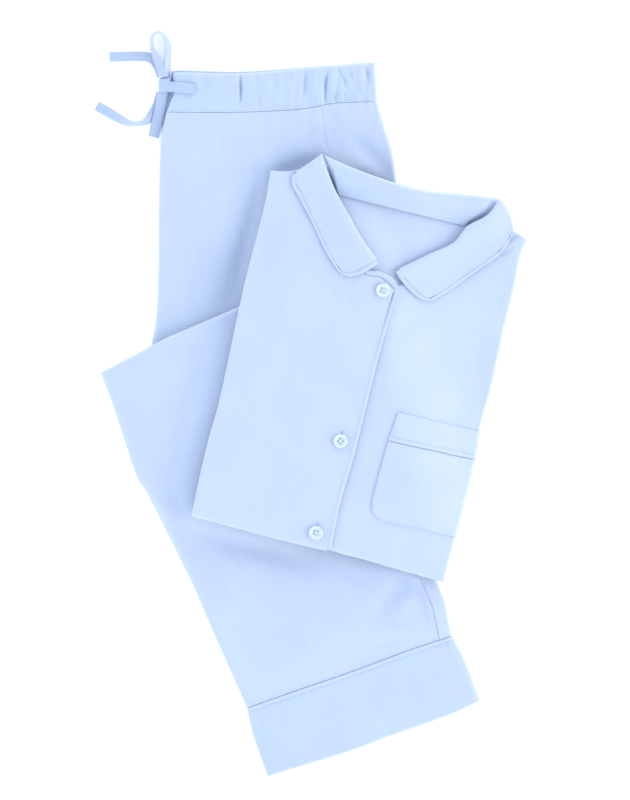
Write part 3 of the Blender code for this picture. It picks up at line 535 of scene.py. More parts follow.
def stack(name, node, patch, base, top, material, lip, plies, core=4.2):
    """Rounded solid of the layers folded under a piece, with their plies showing at its edge.

    The edge ends a lip below the top, and the crown begins a core's width inside the outline.
    """
    across, down = int(patch.wide / STACK_PITCH), int(patch.long / STACK_PITCH)
    li, lj = border(down + 1, across + 1)

    def spot(inset, i, j):
        du, dv = inset / patch.wide, inset / patch.long
        return patch.at(du + (1 - 2 * du) * j / across, dv + (1 - 2 * dv) * i / down)

    def bed(p):
        """Height under the stack at plan points, and the height of its edge over that."""
        low = base(p[..., 0], p[..., 1])
        return low, np.maximum(top(p[..., 0], p[..., 1]) - lip - low, LEAST_HIGH)

    up = np.linspace(0, 1, plies * 6 + 1)[:, None]
    ply = np.minimum(np.floor(up * plies), plies - 1)
    way = np.arange(len(li))[None] * STACK_PITCH
    shift = RAGGED * (np.sin(way / 37 + ply * 2.4) + 0.6 * np.sin(way / 15 + ply * 4.1))
    bulge = np.abs(np.sin(np.pi * plies * up)) ** 0.55
    inset = SET_BACK - PLY_BULGE * bulge + np.maximum(shift, -0.6) * bulge
    p = spot(inset, li[None], lj[None])
    low, high = bed(p)
    z = low + up * high
    i, j = np.meshgrid(np.arange(down + 1), np.arange(across + 1), indexing="ij")
    b = spot(SET_BACK, i, j)
    c = spot(core, i, j)
    s = spot(core - SHOULDER_OUT, li, lj)
    low, high = bed(s)
    shoulder = low + high + SHOULDER_UP
    bottom = np.dstack([b, base(b[..., 0], b[..., 1])])
    crown_high = top(c[..., 0], c[..., 1]) - CLOTH - AIR
    crown = np.dstack([c, np.maximum(crown_high, base(c[..., 0], c[..., 1]) + CROWN_HIGH)])
    rings = np.concatenate([np.dstack([p, z]), np.column_stack([s, shoulder])[None]])
    cells = (down + 1) * (across + 1)
    count, around = rings.shape[:2]
    at_loop = li * (across + 1) + lj
    ids = 2 * cells + np.arange(count * around).reshape(count, around)
    ids = np.concatenate([at_loop[None], ids[1:], (cells + at_loop)[None]])
    walls = np.stack([ids[:-1], np.roll(ids[:-1], -1, 1), np.roll(ids[1:], -1, 1), ids[1:]], -1)
    points = np.concatenate([bottom.reshape(-1, 3), crown.reshape(-1, 3), rings.reshape(-1, 3)])
    quads = np.concatenate([walls.reshape(-1, 4), grid_quads(down + 1, across + 1),
                            grid_quads(down + 1, across + 1, cells)[:, ::-1]])
    edge_uv = np.stack([np.broadcast_to(way, (count, around)), rings[..., 2]], -1)
    uv = np.concatenate([b.reshape(-1, 2), c.reshape(-1, 2), edge_uv.reshape(-1, 2)])
    used, back = np.unique(quads, return_inverse=True)
    piece = make(name, points[used], back.reshape(quads.shape), material, uv[used])
    return dress(piece, [node])


WAIST_TOP = [(-130.5, 320.5), (-123, 321), (-66, 320), (-10, 324), (56, 329)]
WAIST_LEFT = [(-130.5, 320.5), (-129.6, 311), (-129.4, 301), (-132.6, 291.5), (-136, 283)]
WAIST_SEAM = [(-136, 283), (-66, 283), (-10, 286), (18, 291), (58, 293)]
HIP_LEFT = [
    (-136, 282.7), (-138.6, 271), (-141.4, 257), (-143, 202), (-144, 126), (-146, 90), (-150, 68),
    (-151, 40)]
HIP_RIGHT = [(58, 292.7), (65, 269), (72, 246), (75, 222), (77, 190), (79, 152)]
HIP_END = [(-151, 40), (-108, 58), (-69, 76), (-13, 103), (33, 126), (79, 152)]
LEG_FOLD = [(-197, 43), (-151, 67), (-134, 76), (-108, 87), (-69, 104), (-13, 131), (33, 153)]
LEG_LEFT = [
    (-197, 43), (-186, 14), (-175, -19), (-163, -54), (-154, -68), (-130, -116), (-112, -153),
    (-88, -208), (-62, -266)]
LEG_RIGHT = [
    (33, 153), (56, 73), (79, -28), (102, -116), (113, -149), (121, -169), (124, -184), (127, -199)]
CUFF_SEAM = [(-62, -266), (-11, -248), (41, -230), (89, -212), (119, -202), (127, -199)]
CUFF_LEFT = [(-62, -266), (-57, -289), (-43, -329)]
CUFF_RIGHT = [(127, -199), (138, -220), (153, -259)]
CUFF_END = [(-43, -329), (-6, -318), (33, -306), (73, -291), (129, -271), (153, -259)]

near_top = [(x, y - lap) for (x, y), lap in zip(WAIST_TOP, (1.0, 1.2, 1.0, 0.3, 0))]
WAISTBAND = Patch([near_top[0]] + WAIST_LEFT[1:], [(56, 329), (58, 293)], near_top, WAIST_SEAM)
HIP = Patch(HIP_LEFT, HIP_RIGHT, [(x, y - SEAM) for x, y in WAIST_SEAM], HIP_END)
HIP_WHOLE = Patch(WAIST_LEFT[:-1] + HIP_LEFT + [(-149, -10), (-146, -67)],
                  [(56, 329)] + HIP_RIGHT + [(83, 82), (86, -1), (88, -67)],
                  WAIST_TOP, [(-146, -67), (-20, -69), (88, -67)])
LEG = Patch(LEG_LEFT, LEG_RIGHT, LEG_FOLD, CUFF_SEAM)
LEG_WHOLE = Patch(LEG_LEFT + CUFF_LEFT[1:], LEG_RIGHT + CUFF_RIGHT[1:], LEG_FOLD, CUFF_END)
CUFF = Patch(CUFF_LEFT, CUFF_RIGHT, [(x + 0.4, y - 1.1) for x, y in CUFF_SEAM], CUFF_END)
# The band's far layer shows as a sliver past the near one along the top and beside the knot.
far_line = [(x, y + 0.5) for x, y in WAIST_TOP]
FAR_TOP = Patch([far_line[0], (-129, 312)], [(56, 329.2), (56, 318)], far_line,
                [(-129, 312), (-66, 311), (-10, 315), (56, 318)])
FAR_BAND = Patch([(-131.2, 321.2), (-133.8, 308), (-136.4, 296), (-139.4, 284), (-140.8, 270),
                  (-141, 258)],
                 [(-118, 312), (-120, 284), (-128, 258)], [(-131.2, 321.2), (-118, 312)],
                 [(-141, 258), (-128, 258)])
HIP_RING, LEG_RING = HIP_WHOLE.outline(), LEG_WHOLE.outline()
cuff_line = LEG.bottom(np.linspace(0, 1, 25))

# Gathers under the elastic: place along the band, depth, half-width, reach below the band, slant
GATHERS = [
    (-121, 0.38, 4.0, 12, 0.05), (-101, 0.53, 4.2, 10, -0.1), (-88, 0.38, 4.0, 14, 0.06),
    (-68, 0.6, 3.2, 26, 0.02), (-53, 0.83, 3.6, 16, 0.15), (-38, 0.9, 3.2, 22, -0.12),
    (-27, 0.68, 3.0, 18, 0.1), (-17, 0.75, 2.8, 18, -0.05), (-7, 1.65, 3.2, 30, 0.1),
    (2, 0.75, 2.6, 18, -0.14), (12, 1.35, 2.8, 24, 0.12), (21, 0.9, 2.4, 18, -0.1),
    (30, 1.2, 2.6, 16, 0.1), (38, 0.75, 2.2, 18, -0.06), (47, 1.35, 2.6, 20, -0.1),
    (53, 0.6, 2.0, 12, 0.1)]
# Single creases and hollows: course, half-width and height
BAND_CREASES = [
    ([(-68, 317), (-67.6, 304), (-68.2, 291)], 1.5, -2.9), ([(-65, 316), (-64.8, 300)], 2.2, 0.6),
    ([(-104, 319), (-99, 306), (-95, 298)], 3.0, -0.8), ([(-84, 319), (-80, 311)], 2.2, -0.6),
    ([(-57, 320), (-50, 308), (-47, 300)], 2.6, -1.0),
    ([(-40, 320), (-34, 305), (-30, 290)], 2.4, -1.2), ([(-24, 321), (-20, 310)], 2.0, -1.0),
    ([(-7, 323), (-9.5, 306), (-11, 289)], 2.3, -2.1), ([(-1, 316), (1, 302), (2, 292)], 2.2, 1.1),
    ([(15, 325), (11, 311), (9.8, 300), (10, 288)], 1.6, -2.6),
    ([(21.5, 323), (27.5, 312), (27.4, 305)], 1.7, -2.0), ([(31.5, 324), (35.5, 312)], 1.6, -1.8),
    ([(16, 292), (21.5, 300)], 1.6, -1.4), ([(27.2, 303), (28.6, 292)], 1.5, -1.6),
    ([(35, 302), (32.6, 293)], 1.5, -1.2), ([(44.5, 327), (49, 317), (50, 308)], 1.8, -1.8),
    ([(41, 306), (44, 294)], 2.0, -1.1), ([(-52, 298), (-50, 288)], 1.8, -0.8)]
HIP_CREASES = [
    ([(34, 260), (54, 241), (75, 220)], 8, -2.6), ([(14, 246), (34, 226), (52, 205)], 10, -1.2),
    ([(-128, 250), (-124, 190), (-120, 120)], 18, 0.8), ([(-94, 281), (-93, 270)], 3, -0.7),
    ([(-62, 283), (-61, 270)], 3, -0.7), ([(-23, 285), (-23, 272)], 3, -0.7),
    ([(10, 288), (9, 262), (13, 236)], 3.4, -0.8), ([(66, 268), (73, 230), (75, 195)], 5, 0.5),
    ([(-46, 240), (-62, 172), (-76, 112), (-86, 74)], 24, -1.9), ([(-100, 250), (-104, 180)], 12, -0.4),
    ([(-42, 224), (-24, 229), (-6, 234), (12, 243)], 9, -4.0),
    ([(-49, 216), (-58, 180), (-70, 132), (-78, 100)], 9, -2.0),
    ([(36, 226), (56, 220), (78, 212)], 9, -3.2)]
# A soft bead runs down the leg's left fold, with a hollow beside it.
FOLD_BEAD = ([(-186, 34), (-174, -6), (-160, -44), (-148, -66), (-124, -114), (-106, -151), (-82, -206),
              (-56, -262)], 6, 0.9)
FOLD_HOLLOW = ([(-176, 34), (-160, 0), (-146, -44), (-134, -64), (-110, -110), (-92, -148), (-68, -202),
                (-44, -256)], 11, -1.3)
LEG_CREASES = [
    ([(86, -143), (71, -162), (58, -181)], 9, -2.3), ([(54, -193), (72, -196), (90, -194)], 6, 1.2),
    ([(50, -160), (30, -190), (20, -214)], 16, 0.5), ([(-150, -20), (-110, 12), (-70, 40)], 24, 0.5),
    ([(92, -158), (84, -172), (80, -184)], 5, 0.7), ([(46, -213), (66, -206), (84, -207)], 2.6, -0.6),
    ([(100, -140), (106, -165), (113, -190)], 5, 0.4),
    ([(-60, -130), (-10, -190), (10, -226)], 26, 0.4), FOLD_BEAD, FOLD_HOLLOW,
    ([(34, -146), (46, -150)], 5, -0.6), ([(93, -148), (99, -168), (107, -188)], 4.5, -1.9),
    ([(-94, 92), (-110, 34), (-124, -16), (-133, -60), (-126, -108)], 13, -2.2),
    ([(-112, -98), (-80, -112), (-40, -122), (4, -134)], 11, -2.6)]
CUFF_CREASES = [
    ([(-52, -266), (-49, -292), (-37, -330)], 3.6, -0.9),
    ([(117, -200), (127, -226), (142, -264)], 7, -0.5),
    ([(-20, -262), (-4, -290), (6, -318)], 22, -0.5), ([(60, -236), (70, -262), (84, -290)], 26, 0.5)]


def seam_y(x):
    """Where the waistband's seam runs."""
    return SEAM_Y + SEAM_SLOPE * (x - SEAM_X)


def gathered(x, y):
    """How far the gathers sink the cloth: full in the band, fading below its seam."""
    below = np.maximum(seam_y(x) - y, 0)
    total = np.zeros(x.shape)
    for place, deep, half, reach, slant in GATHERS:
        off = np.abs(x - place - slant * (BAND_MIDDLE - y)) / (half * (1 + 0.03 * below))
        total += deep * np.exp(-(off ** 1.6)) * np.exp(-below / reach)
    return total


def hip_top(x, y):
    """The band stands up from the hip, and the elastic draws fine ripples in at its seam."""
    below = np.maximum(seam_y(x) - y, 0)
    rise = BAND_RISE * np.exp(-below / BAND_EASE)
    sunk = folds(BAND_CREASES, x, y) * (below < 3) + folds(HIP_CREASES, x, y)
    drawn = 0.35 * (np.sin(x / 2.3 + 2 * np.sin(x / 17)) - 0.4) * (0.5 + 0.5 * np.sin(x / 29 + 1))
    smoothed = drift(x, y, 0.22) * fall(BAND_EASE - below, BAND_EASE)
    return HIP_HEIGHT + rise - gathered(x, y) + sunk + drawn * np.exp(-below / 4) + smoothed


def leg_base(x, y):
    return (HIP_HEIGHT + LEG_GAP) * fall(outside(HIP_RING, x, y), LEG_BRIDGE)


def leg_bare(x, y):
    """The leg without its creases, thicker where the part folded back lies under it."""
    return leg_base(x, y) + LEG_SINGLE + (LEG_DOUBLE - LEG_SINGLE) * fall(DOUBLE_END - y, DOUBLE_EASE)


def leg_top(x, y):
    return leg_bare(x, y) + folds(LEG_CREASES, x, y) + drift(x, y, 0.3) + pucker(cuff_line, x, y)


def cuff_top(x, y):
    smoothed = drift(x, y, 0.3) + pucker(cuff_line, x, y)
    return leg_bare(x, y) + 0.4 + folds(CUFF_CREASES, x, y) + smoothed


def hip_bed(x, y):
    """Top of the layers under the hip, higher towards the band and as hollow as the cloth over it."""
    rise = BED_RISE * fall(seam_y(x) - y, BED_EASE)
    return HIP_HEIGHT + rise + np.minimum(folds(HIP_CREASES, x, y), 0)


def leg_bed(x, y):
    return leg_bare(x, y) + np.minimum(folds(LEG_CREASES, x, y), 0)


hip_stack = stack("folded_hip_layers", "trousers_folded_hip", HIP_WHOLE, level(0), hip_bed,
                  trouser_cotton, lip=5.2, plies=2)
leg_stack = stack("folded_leg_layers", "trousers_folded_leg", LEG_WHOLE, leg_base, leg_bed,
                  trouser_cotton, lip=5.2, plies=3, core=5.0)
fold, leg_fold = edge(FOLDED, 4.0, 4.2), edge(FOLDED, 6.5, 4.4)
band_fold, cuff_fold = edge(FOLDED, 4.5, 5.2), edge(FOLDED, 6.5, 4.6)
band = cloth("elastic_waistband", "waistband", WAISTBAND, hip_top, (band_fold, band_fold, 1.0),
             (edge(TURNED, 4.0, 5.0), edge(TURNED, 1.6, 0.45), 1.2), doubled_cotton_painted_shade)
far_band = cloth("waistband_far_side", None, FAR_BAND, level(2.2), (edge(TURNED, 1.2, 0.9), FLAT),
                 (FLAT, FLAT), doubled_cotton_painted_shade)
far_top = cloth("waistband_far_top", None, FAR_TOP, level(3.6), (FLAT, FLAT),
                (edge(TURNED, 1.2, 1.2), FLAT), doubled_cotton_painted_shade)
hip_rows, leg_rows = (edge(TURNED, 1.6, 0.4), FLAT), (fold, edge(TURNED, 1.0, 1.6))
front_hip = cloth("trouser_front_at_hip", "trouser_front_hip", HIP, hip_top,
                  (fold, edge(TURNED, 1.2, 0.8, (1 - HIP_SEAM) * HIP.wide)), hip_rows, trouser_cotton)
back_hip = cloth("trouser_back_at_hip", "trouser_back_hip", HIP, hip_top,
                 (edge(TURNED, 0.8, 0.4, HIP_SEAM * HIP.wide + SEAM), fold), hip_rows, trouser_cotton)
front_leg = cloth("trouser_front_at_leg", "trouser_front_leg", LEG, leg_top,
                  (leg_fold, edge(TURNED, 1.0, 0.7, (1 - LEG_SEAM) * LEG.wide)), leg_rows,
                  trouser_cotton)
back_leg = cloth("trouser_back_at_leg", "trouser_back_leg", LEG, raised(leg_top, 0.7),
                 (edge(TURNED, 1.0, 0.9, LEG_SEAM * LEG.wide + SEAM), fold, PITCH, 0.8), leg_rows,
                 trouser_cotton)
cuff_piping = cloth("cuff_piping_strip", "cuff_piping", CUFF, raised(cuff_top, 0.1),
                    (cuff_fold, cuff_fold), (DITCH, edge(CORDED, start=CUFF.long - PIPING), PITCH, 5),
                    piping_cotton, 1.6)
cuff = cloth("trouser_cuff", "cuff", CUFF, cuff_top, (cuff_fold, cuff_fold),
             (edge(TURNED, 0.8, 0.6, PIPING + SEAM), edge(TURNED, 2.0, 2.6)), doubled_cotton_painted_shade)


def mottled(name, low, high, noise, finish):
    """A material that drifts between two tints, with a noise in the piece's own space."""
    material, tree, face = new_material(name)
    place = add(tree, "ShaderNodeTexCoord")
    mottle = add(tree, "ShaderNodeTexNoise", noise, {"Vector": place.outputs["Object"]})
    tint = add(tree, "ShaderNodeMix", {"A": linear(low), "B": linear(high)},
               {"Factor": mottle.outputs[0]}, data_type="RGBA")
    tree.links.new(tint.outputs["Result"], face.inputs["Base Color"])
    give(face, finish)
    return material


# Mercerised sewing thread: a fine twist that shines a little, its plies drawn 0.25 mm apart
TWIST, THREAD_FINISH = {"Scale": 4000.0, "Detail": 1.0}, {"Roughness": 0.45, "Sheen Weight": 0.3}
thread = mottled("sewing_thread", "A3B4D4", "BDCBE4", TWIST, THREAD_FINISH)


def baked(held):
    """The piece as its modifiers leave it, as a plain mesh without them."""
    bpy.context.view_layer.update()
    graph = bpy.context.evaluated_depsgraph_get()
    mesh = bpy.data.meshes.new_from_object(held.evaluated_get(graph), depsgraph=graph)
    held.modifiers.clear()
    held.data = mesh
    mesh.name = held.name
    return held


# One lockstitch laid at even steps along every line of a path mesh. Along is the stitch's own size in
# the line's direction, so a satin stitch is short along its line and wide across it.
lockstitch = bpy.data.node_groups.new("lockstitch", "GeometryNodeTree")
lockstitch.interface.new_socket("Path", in_out="INPUT", socket_type="NodeSocketGeometry")
for size in ("Pitch", "Along", "Across", "High"):
    lockstitch.interface.new_socket(size, in_out="INPUT", socket_type="NodeSocketFloat")
lockstitch.interface.new_socket("Stitches", in_out="OUTPUT", socket_type="NodeSocketGeometry")
given = add(lockstitch, "NodeGroupInput")
seam = add(lockstitch, "GeometryNodeMeshToCurve", links={"Mesh": given.outputs["Path"]})
steps = add(lockstitch, "GeometryNodeResampleCurve",
            links={"Curve": seam.outputs["Curve"], "Length": given.outputs["Pitch"]}, mode="LENGTH")
bead = add(lockstitch, "GeometryNodeMeshUVSphere", {"Segments": 8, "Rings": 5, "Radius": 0.5})
shape = add(lockstitch, "ShaderNodeCombineXYZ", links={
    "X": given.outputs["Along"], "Y": given.outputs["Across"], "Z": given.outputs["High"]})
stitch = add(lockstitch, "GeometryNodeTransform",
             links={"Geometry": bead.outputs["Mesh"], "Scale": shape.outputs["Vector"]})
smooth = add(lockstitch, "GeometryNodeSetShadeSmooth", links={"Geometry": stitch.outputs["Geometry"]})
tangent = add(lockstitch, "GeometryNodeInputTangent")
facing = add(lockstitch, "FunctionNodeAlignRotationToVector",
             links={"Vector": tangent.outputs["Tangent"]}, axis="X")
uneven = add(lockstitch, "FunctionNodeRandomValue",
             {"Min": (0.88, 0.9, 0.9), "Max": (1.06, 1.1, 1.1), "Seed": 7}, data_type="FLOAT_VECTOR")
laid = add(lockstitch, "GeometryNodeInstanceOnPoints",
           links={"Points": steps.outputs["Curve"], "Instance": smooth.outputs["Geometry"],
                  "Rotation": facing.outputs["Rotation"], "Scale": uneven.outputs["Value"]})
real = add(lockstitch, "GeometryNodeRealizeInstances", links={"Geometry": laid.outputs["Instances"]})
coloured = add(lockstitch, "GeometryNodeSetMaterial", {"Material": thread},
               {"Geometry": real.outputs["Geometry"]})
add(lockstitch, "NodeGroupOutput", links={"Stitches": coloured.outputs["Geometry"]})


def sew(name, lines, pitch=2.9, along=2.4, across=0.34, high=0.26):
    """Stitches along lines of points in millimetres, all in one piece."""
    points, edges = [], []
    for line in lines:
        edges += [(len(points) + k, len(points) + k + 1) for k in range(len(line) - 1)]
        points += [tuple(np.array(q) * MM) for q in line]
    path = bpy.data.meshes.new(name)
    path.from_pydata(points, edges, [])
    piece = put(name, path)
    rows = piece.modifiers.new("lockstitch", "NODES")
    rows.node_group = lockstitch
    sizes = {"Pitch": pitch, "Along": along, "Across": across, "High": high}
    for item in lockstitch.interface.items_tree:
        if item.name in sizes:
            rows[item.identifier] = sizes[item.name] * MM
    return dress(baked(piece), [])


def on_patch(patch, top, us, vs, lift=0.05, count=90):
    """Points on the cloth of a patch, between pairs of shares across and down it."""
    t = np.linspace(0, 1, count)
    p = patch.at(us[0] + (us[1] - us[0]) * t, vs[0] + (vs[1] - vs[0]) * t)
    return np.concatenate([p, (top(p[:, 0], p[:, 1]) + lift)[:, None]], -1)


sew("cuff_stitches", [on_patch(CUFF, cuff_top, (0.03, 0.97), ((PIPING + 1.4) / CUFF.long,) * 2),
                      on_patch(LEG, leg_top, (0.03, 0.97), (1 - 2.2 / LEG.long,) * 2)])
sew("waist_stitches", [on_patch(WAISTBAND, hip_top, (0.03, 0.97), (1 - 2.0 / WAISTBAND.long,) * 2)])

# ---- Shirt --------------------------------------------------------------------------------------
# A long-sleeved shirt folded to a flat oblong with its sleeves behind it. Its right front laps over
# the left one, and flat piping edges the front, the notched collar and the pocket's mouth.

SHIRT_HEIGHT = 11.0
OVERLAP, OVERLAP_RISE, OVERLAP_EASE = 28.0, 2.6, 40
EDGE_X, EDGE_Y, EDGE_SLOPE = 77, 119, 0.27              # the front edge's top, and its run
HIP_GAP, HIP_BRIDGE = 1.9, 70                           # room over the hip, and reach beside it
LEG_ROOM, SHIRT_BRIDGE = 2.0, 84                        # the same for the leg
UPPER_GAP, UPPER_END, UPPER_EASE = 1.2, -62, 90         # where hip and leg lie on each other
BLEND = 6                                               # how sharply the two bridges meet
NECK_SUNK, NECK_START, NECK_EASE = 3.9, 8, 16           # the layers' hollow in the neck
IN = PIPING - 0.1                                       # cloth ends this far inside a piped edge
# The shirt's sateen, from the same bolt as the trousers: pale, softly shining
shirt_cotton = sateen("shirt_cotton", "BDC6D7")

SHIRT_LEFT = [
    (-40, 229), (-42, 217), (-45, 199), (-58, 149), (-66, 116), (-87, 18), (-97, -18), (-104, -47),
    (-113, -89)]
SHIRT_RIGHT = [
    (197, 165), (192, 156), (189, 145), (185, 124), (177, 91), (162.8, 27), (153.3, -8), (149.3, -34),
    (140.3, -72), (131, -106), (119, -150)]
SHIRT_SHOULDERS = [
    (-40, 229), (-24, 228), (5, 236), (39, 223), (76, 210), (105, 202), (138, 199), (166, 195),
    (184, 173), (197, 165)]
SHIRT_HEM = [(-113, -89), (-71, -100), (-34, -110), (13, -121), (42, -128), (80, -139), (119, -150)]
FRONT_EDGE = [(77, 119), (73, 106), (65, 78), (56, 45), (43, -8), (35, -39), (24, -77), (15, -121)]

SHIRT = Patch(SHIRT_LEFT, SHIRT_RIGHT, SHIRT_SHOULDERS, SHIRT_HEM)
RIGHT_FRONT = Patch(SHIRT_LEFT, [(x - IN, y) for x, y in FRONT_EDGE],
                    [(-40, 229), (-24, 228), (-6, 229), (8, 212), (20, 191), (34, 160), (43, 138),
                     (50, 131.8), (58, 131), (65.5, 127), (77 - IN, 119)],
                    SHIRT_HEM[:3] + [(15 - IN, -120.6)])
LEFT_FRONT = Patch([(54, 112), (47, 92), (38, 66), (29, 35), (16, -16), (8, -47), (-2, -84),
                    (-12, -112)],
                   SHIRT_RIGHT,
                   [(54, 112), (75, 123), (98, 128), (122, 142), (145, 160), (166, 176), (184, 173),
                    (197, 165)],
                   [(-12, -112), (12, -118.6), (24, -123.4)] + SHIRT_HEM[4:])
BACK = Patch([(20, 207), (37, 165), (58, 126)], [(146, 178), (120, 150), (84, 122)],
             [(20, 207), (26, 208.5), (56, 201), (89, 193), (122, 185), (146, 178)],
             [(58, 126), (84, 122)])
BACK_RING = BACK.outline()
SHIRT_CREASES = [
    ([(-80, -60), (-64, 10), (-48, 80)], 16, 0.5), ([(-30, -90), (-20, 0), (10, 90)], 30, -0.5),
    ([(150, 120), (120, 60), (110, 10)], 22, 0.5), ([(176, 140), (158, 90), (150, 40)], 8, -0.5),
    ([(-44, 190), (-20, 160), (10, 140)], 12, -0.5), ([(60, -130), (80, -60), (90, -20)], 24, 0.4),
    ([(177, 163), (184, 168), (191, 170)], 2.0, -1.8),
    ([(165, 154), (174, 152.5), (184, 157)], 2.0, -1.2)]


def shirt_base(x, y):
    """Bed of the folded shirt, which bridges from the trousers down to the surface beside them."""
    on_hip = (HIP_HEIGHT + HIP_GAP) * fall(outside(HIP_RING, x, y), HIP_BRIDGE)
    upper = (HIP_HEIGHT + LEG_DOUBLE - LEG_SINGLE + UPPER_GAP) * fall(UPPER_END - y, UPPER_EASE)
    on_leg = (LEG_SINGLE + LEG_ROOM + upper) * fall(outside(LEG_RING, x, y), SHIRT_BRIDGE)
    return (on_hip ** BLEND + on_leg ** BLEND) ** (1 / BLEND)


shirt_bare = raised(shirt_base, SHIRT_HEIGHT)


def shirt_top(x, y):
    return shirt_bare(x, y) + folds(SHIRT_CREASES, x, y) + drift(x, y, 0.25)


def front_top(x, y):
    """Top of the right front, raised where it laps over the left one."""
    past_lap = EDGE_X + (y - EDGE_Y) * EDGE_SLOPE - x - OVERLAP
    return shirt_top(x, y) + OVERLAP_RISE * fall(past_lap, OVERLAP_EASE)


def back_top(x, y):
    return shirt_bare(x, y) - 2.1 + drift(x, y, 0.2)


def core_top(x, y):
    """Top of the layers under the shirt, sunk in the neck."""
    return shirt_bare(x, y) - NECK_SUNK * fall(outside(BACK_RING, x, y) - NECK_START, NECK_EASE)


shirt_stack = stack("folded_shirt_layers", "shirt_folded_under", SHIRT, shirt_base, core_top,
                    shirt_cotton, lip=6.6, plies=4, core=7.0)
shirt_fold = edge(FOLDED, 3.0, 4.0)
left_front = cloth("shirt_left_front", "shirt_front_left", LEFT_FRONT, shirt_top, (FLAT, shirt_fold),
                   (edge(TURNED, 2.0, 2.0), shirt_fold), shirt_cotton)
right_front = cloth("shirt_right_front", "shirt_front_right", RIGHT_FRONT, front_top,
                    (shirt_fold, edge(TURNED, 0.9, 0.4)), (edge(TURNED, 0.9, 0.5), shirt_fold),
                    shirt_cotton)
back = cloth("shirt_back_at_neck", "shirt_back", BACK, back_top, (FLAT, FLAT), (FLAT, FLAT),
             shirt_cotton)

# Flat piping, a bias strip folded over and caught in the seam, level with the cloth beside it
PIPE_SECTION = np.array([
    (0, 0), (0, 0.6), (0.03, 0.88), (0.12, 1.04), (0.3, 1.14), (0.68, 1.14), (0.9, 1.02), (0.98, 0.75),
    (1, 0.35), (1, 0)])


def pipe(name, node, inner, outer, floor):
    """Piping between two plan curves, lying at the height that floor gives."""
    share = np.linspace(0, 1, int(outer.length / 1.5))
    a, b = inner(share), outer(share)
    middle = (a + b) / 2
    z = floor(middle[:, 0], middle[:, 1])
    across, up = PIPE_SECTION.T
    plan = a[:, None] + (b - a)[:, None] * across[:, None]
    rings = np.dstack([plan, z[:, None] + up])
    uv = np.stack(np.broadcast_arrays(across * PIPING * 1.6, share[:, None] * outer.length), -1)
    return dress(tubes(name, [rings], piping_cotton, [uv], 80), [node])


front_outer = curve([(46, 139.2), (52.5, 136.8), (60, 136), (70.5, 131), (76, 124.5), (77, 119)]
                    + FRONT_EDGE[1:-1] + [(15.4, -119)])
front_inner = curve([(43.6, 136.4), (50.2, 131.8), (57.9, 131), (65.6, 127), (71.9, 120.6),
                     (72.7, 117.5)]
                    + [(x - PIPING, y) for x, y in FRONT_EDGE[1:-1]] + [(15.4 - PIPING, -119)])
front_piping = pipe("front_piping_strip", "front_piping", front_inner, front_outer,
                    raised(front_top, -1.3))
sew("front_edge_stitches",
    [on_patch(RIGHT_FRONT, front_top, (1 - 1.7 / RIGHT_FRONT.wide,) * 2, (0.02, 0.98), count=160)])

# ---- Collar -------------------------------------------------------------------------------------
# A notched collar: two leaves turned outwards over a stand that is sewn to the neck, its edge piped.
# Each leaf is highest where it rolls over the stand, and lies flat on its front at the tip.

STAND_SINK, STAND_RISE, STAND_REACH = 1.6, 8.4, 34      # at the neck seam, and at the back roll
PRESS_DEEP = 4.8                                        # how far a leaf's roll presses the stand down
LEAF_LIFT, ROLL_RISE, SHOULDER_RISE, ROLL_REACH = 2.4, 1.2, 4.6, 26
COLLAR_BAND = Patch([(9, 243), (19.5, 214), (23, 206.5)], [(171, 203.4), (161.5, 187.5), (143.5, 177)],
                    [(9, 243), (39, 230), (76, 217), (105, 210), (138, 207), (171, 203.4)],
                    [(23, 206.5), (56, 198), (89, 190), (122, 182), (143.5, 177)])
RIGHT_LEAF = Patch([(7, 244), (18, 214), (33, 186), (46, 163), (60, 144)],
                   [(-19, 226), (-22, 220), (-15, 206), (-1, 179), (11, 153), (23, 135)],
                   [(7, 244), (-6, 235), (-19, 226)], [(60, 144), (46, 135), (33, 131), (23, 135)])
LEFT_LEAF = Patch([(171, 203), (159, 188), (141, 178), (128, 163), (105, 152), (74, 137)],
                  [(184, 173), (173, 154), (146, 134), (122, 117), (107, 109)],
                  [(171, 203), (179, 193), (183, 182), (184, 173)],
                  [(74, 137), (77, 131), (89, 117), (99, 110), (107, 109)])
neck_roll = COLLAR_BAND.top(np.linspace(0, 1, 25))
RIGHT_ROLL, LEFT_ROLL = (leaf.left(np.linspace(0, 1, 25)) for leaf in (RIGHT_LEAF, LEFT_LEAF))
# How wide the stand is pressed down beside each roll: share of the roll passed, and width
PRESSED = ((RIGHT_ROLL, ((0, 1), (0.16, 7), (0.34, 1))), (LEFT_ROLL, ((0, 11), (0.16, 8), (0.38, 1))))


def stand_top(x, y):
    """The stand rises from the neck seam to the back roll, and sinks beside the roll of each leaf."""
    sunk = 0
    for roll, wedge in PRESSED:
        off, share, _ = near_line(roll, x, y)
        wide = np.interp(share, *np.array(wedge).T)
        sunk = sunk + PRESS_DEEP * fall(off / wide, 1)
    rise = STAND_RISE * fall(near_line(neck_roll, x, y)[0] - 2, STAND_REACH)
    return shirt_bare(x, y) - STAND_SINK + rise - sunk


stand = cloth("collar_stand", "collar_band", COLLAR_BAND, stand_top, (FLAT, FLAT),
              (edge(FOLDED, 5.0, 9.0), edge(TURNED, 0.8, 0.5), 1.5), doubled_cotton_painted_shade)


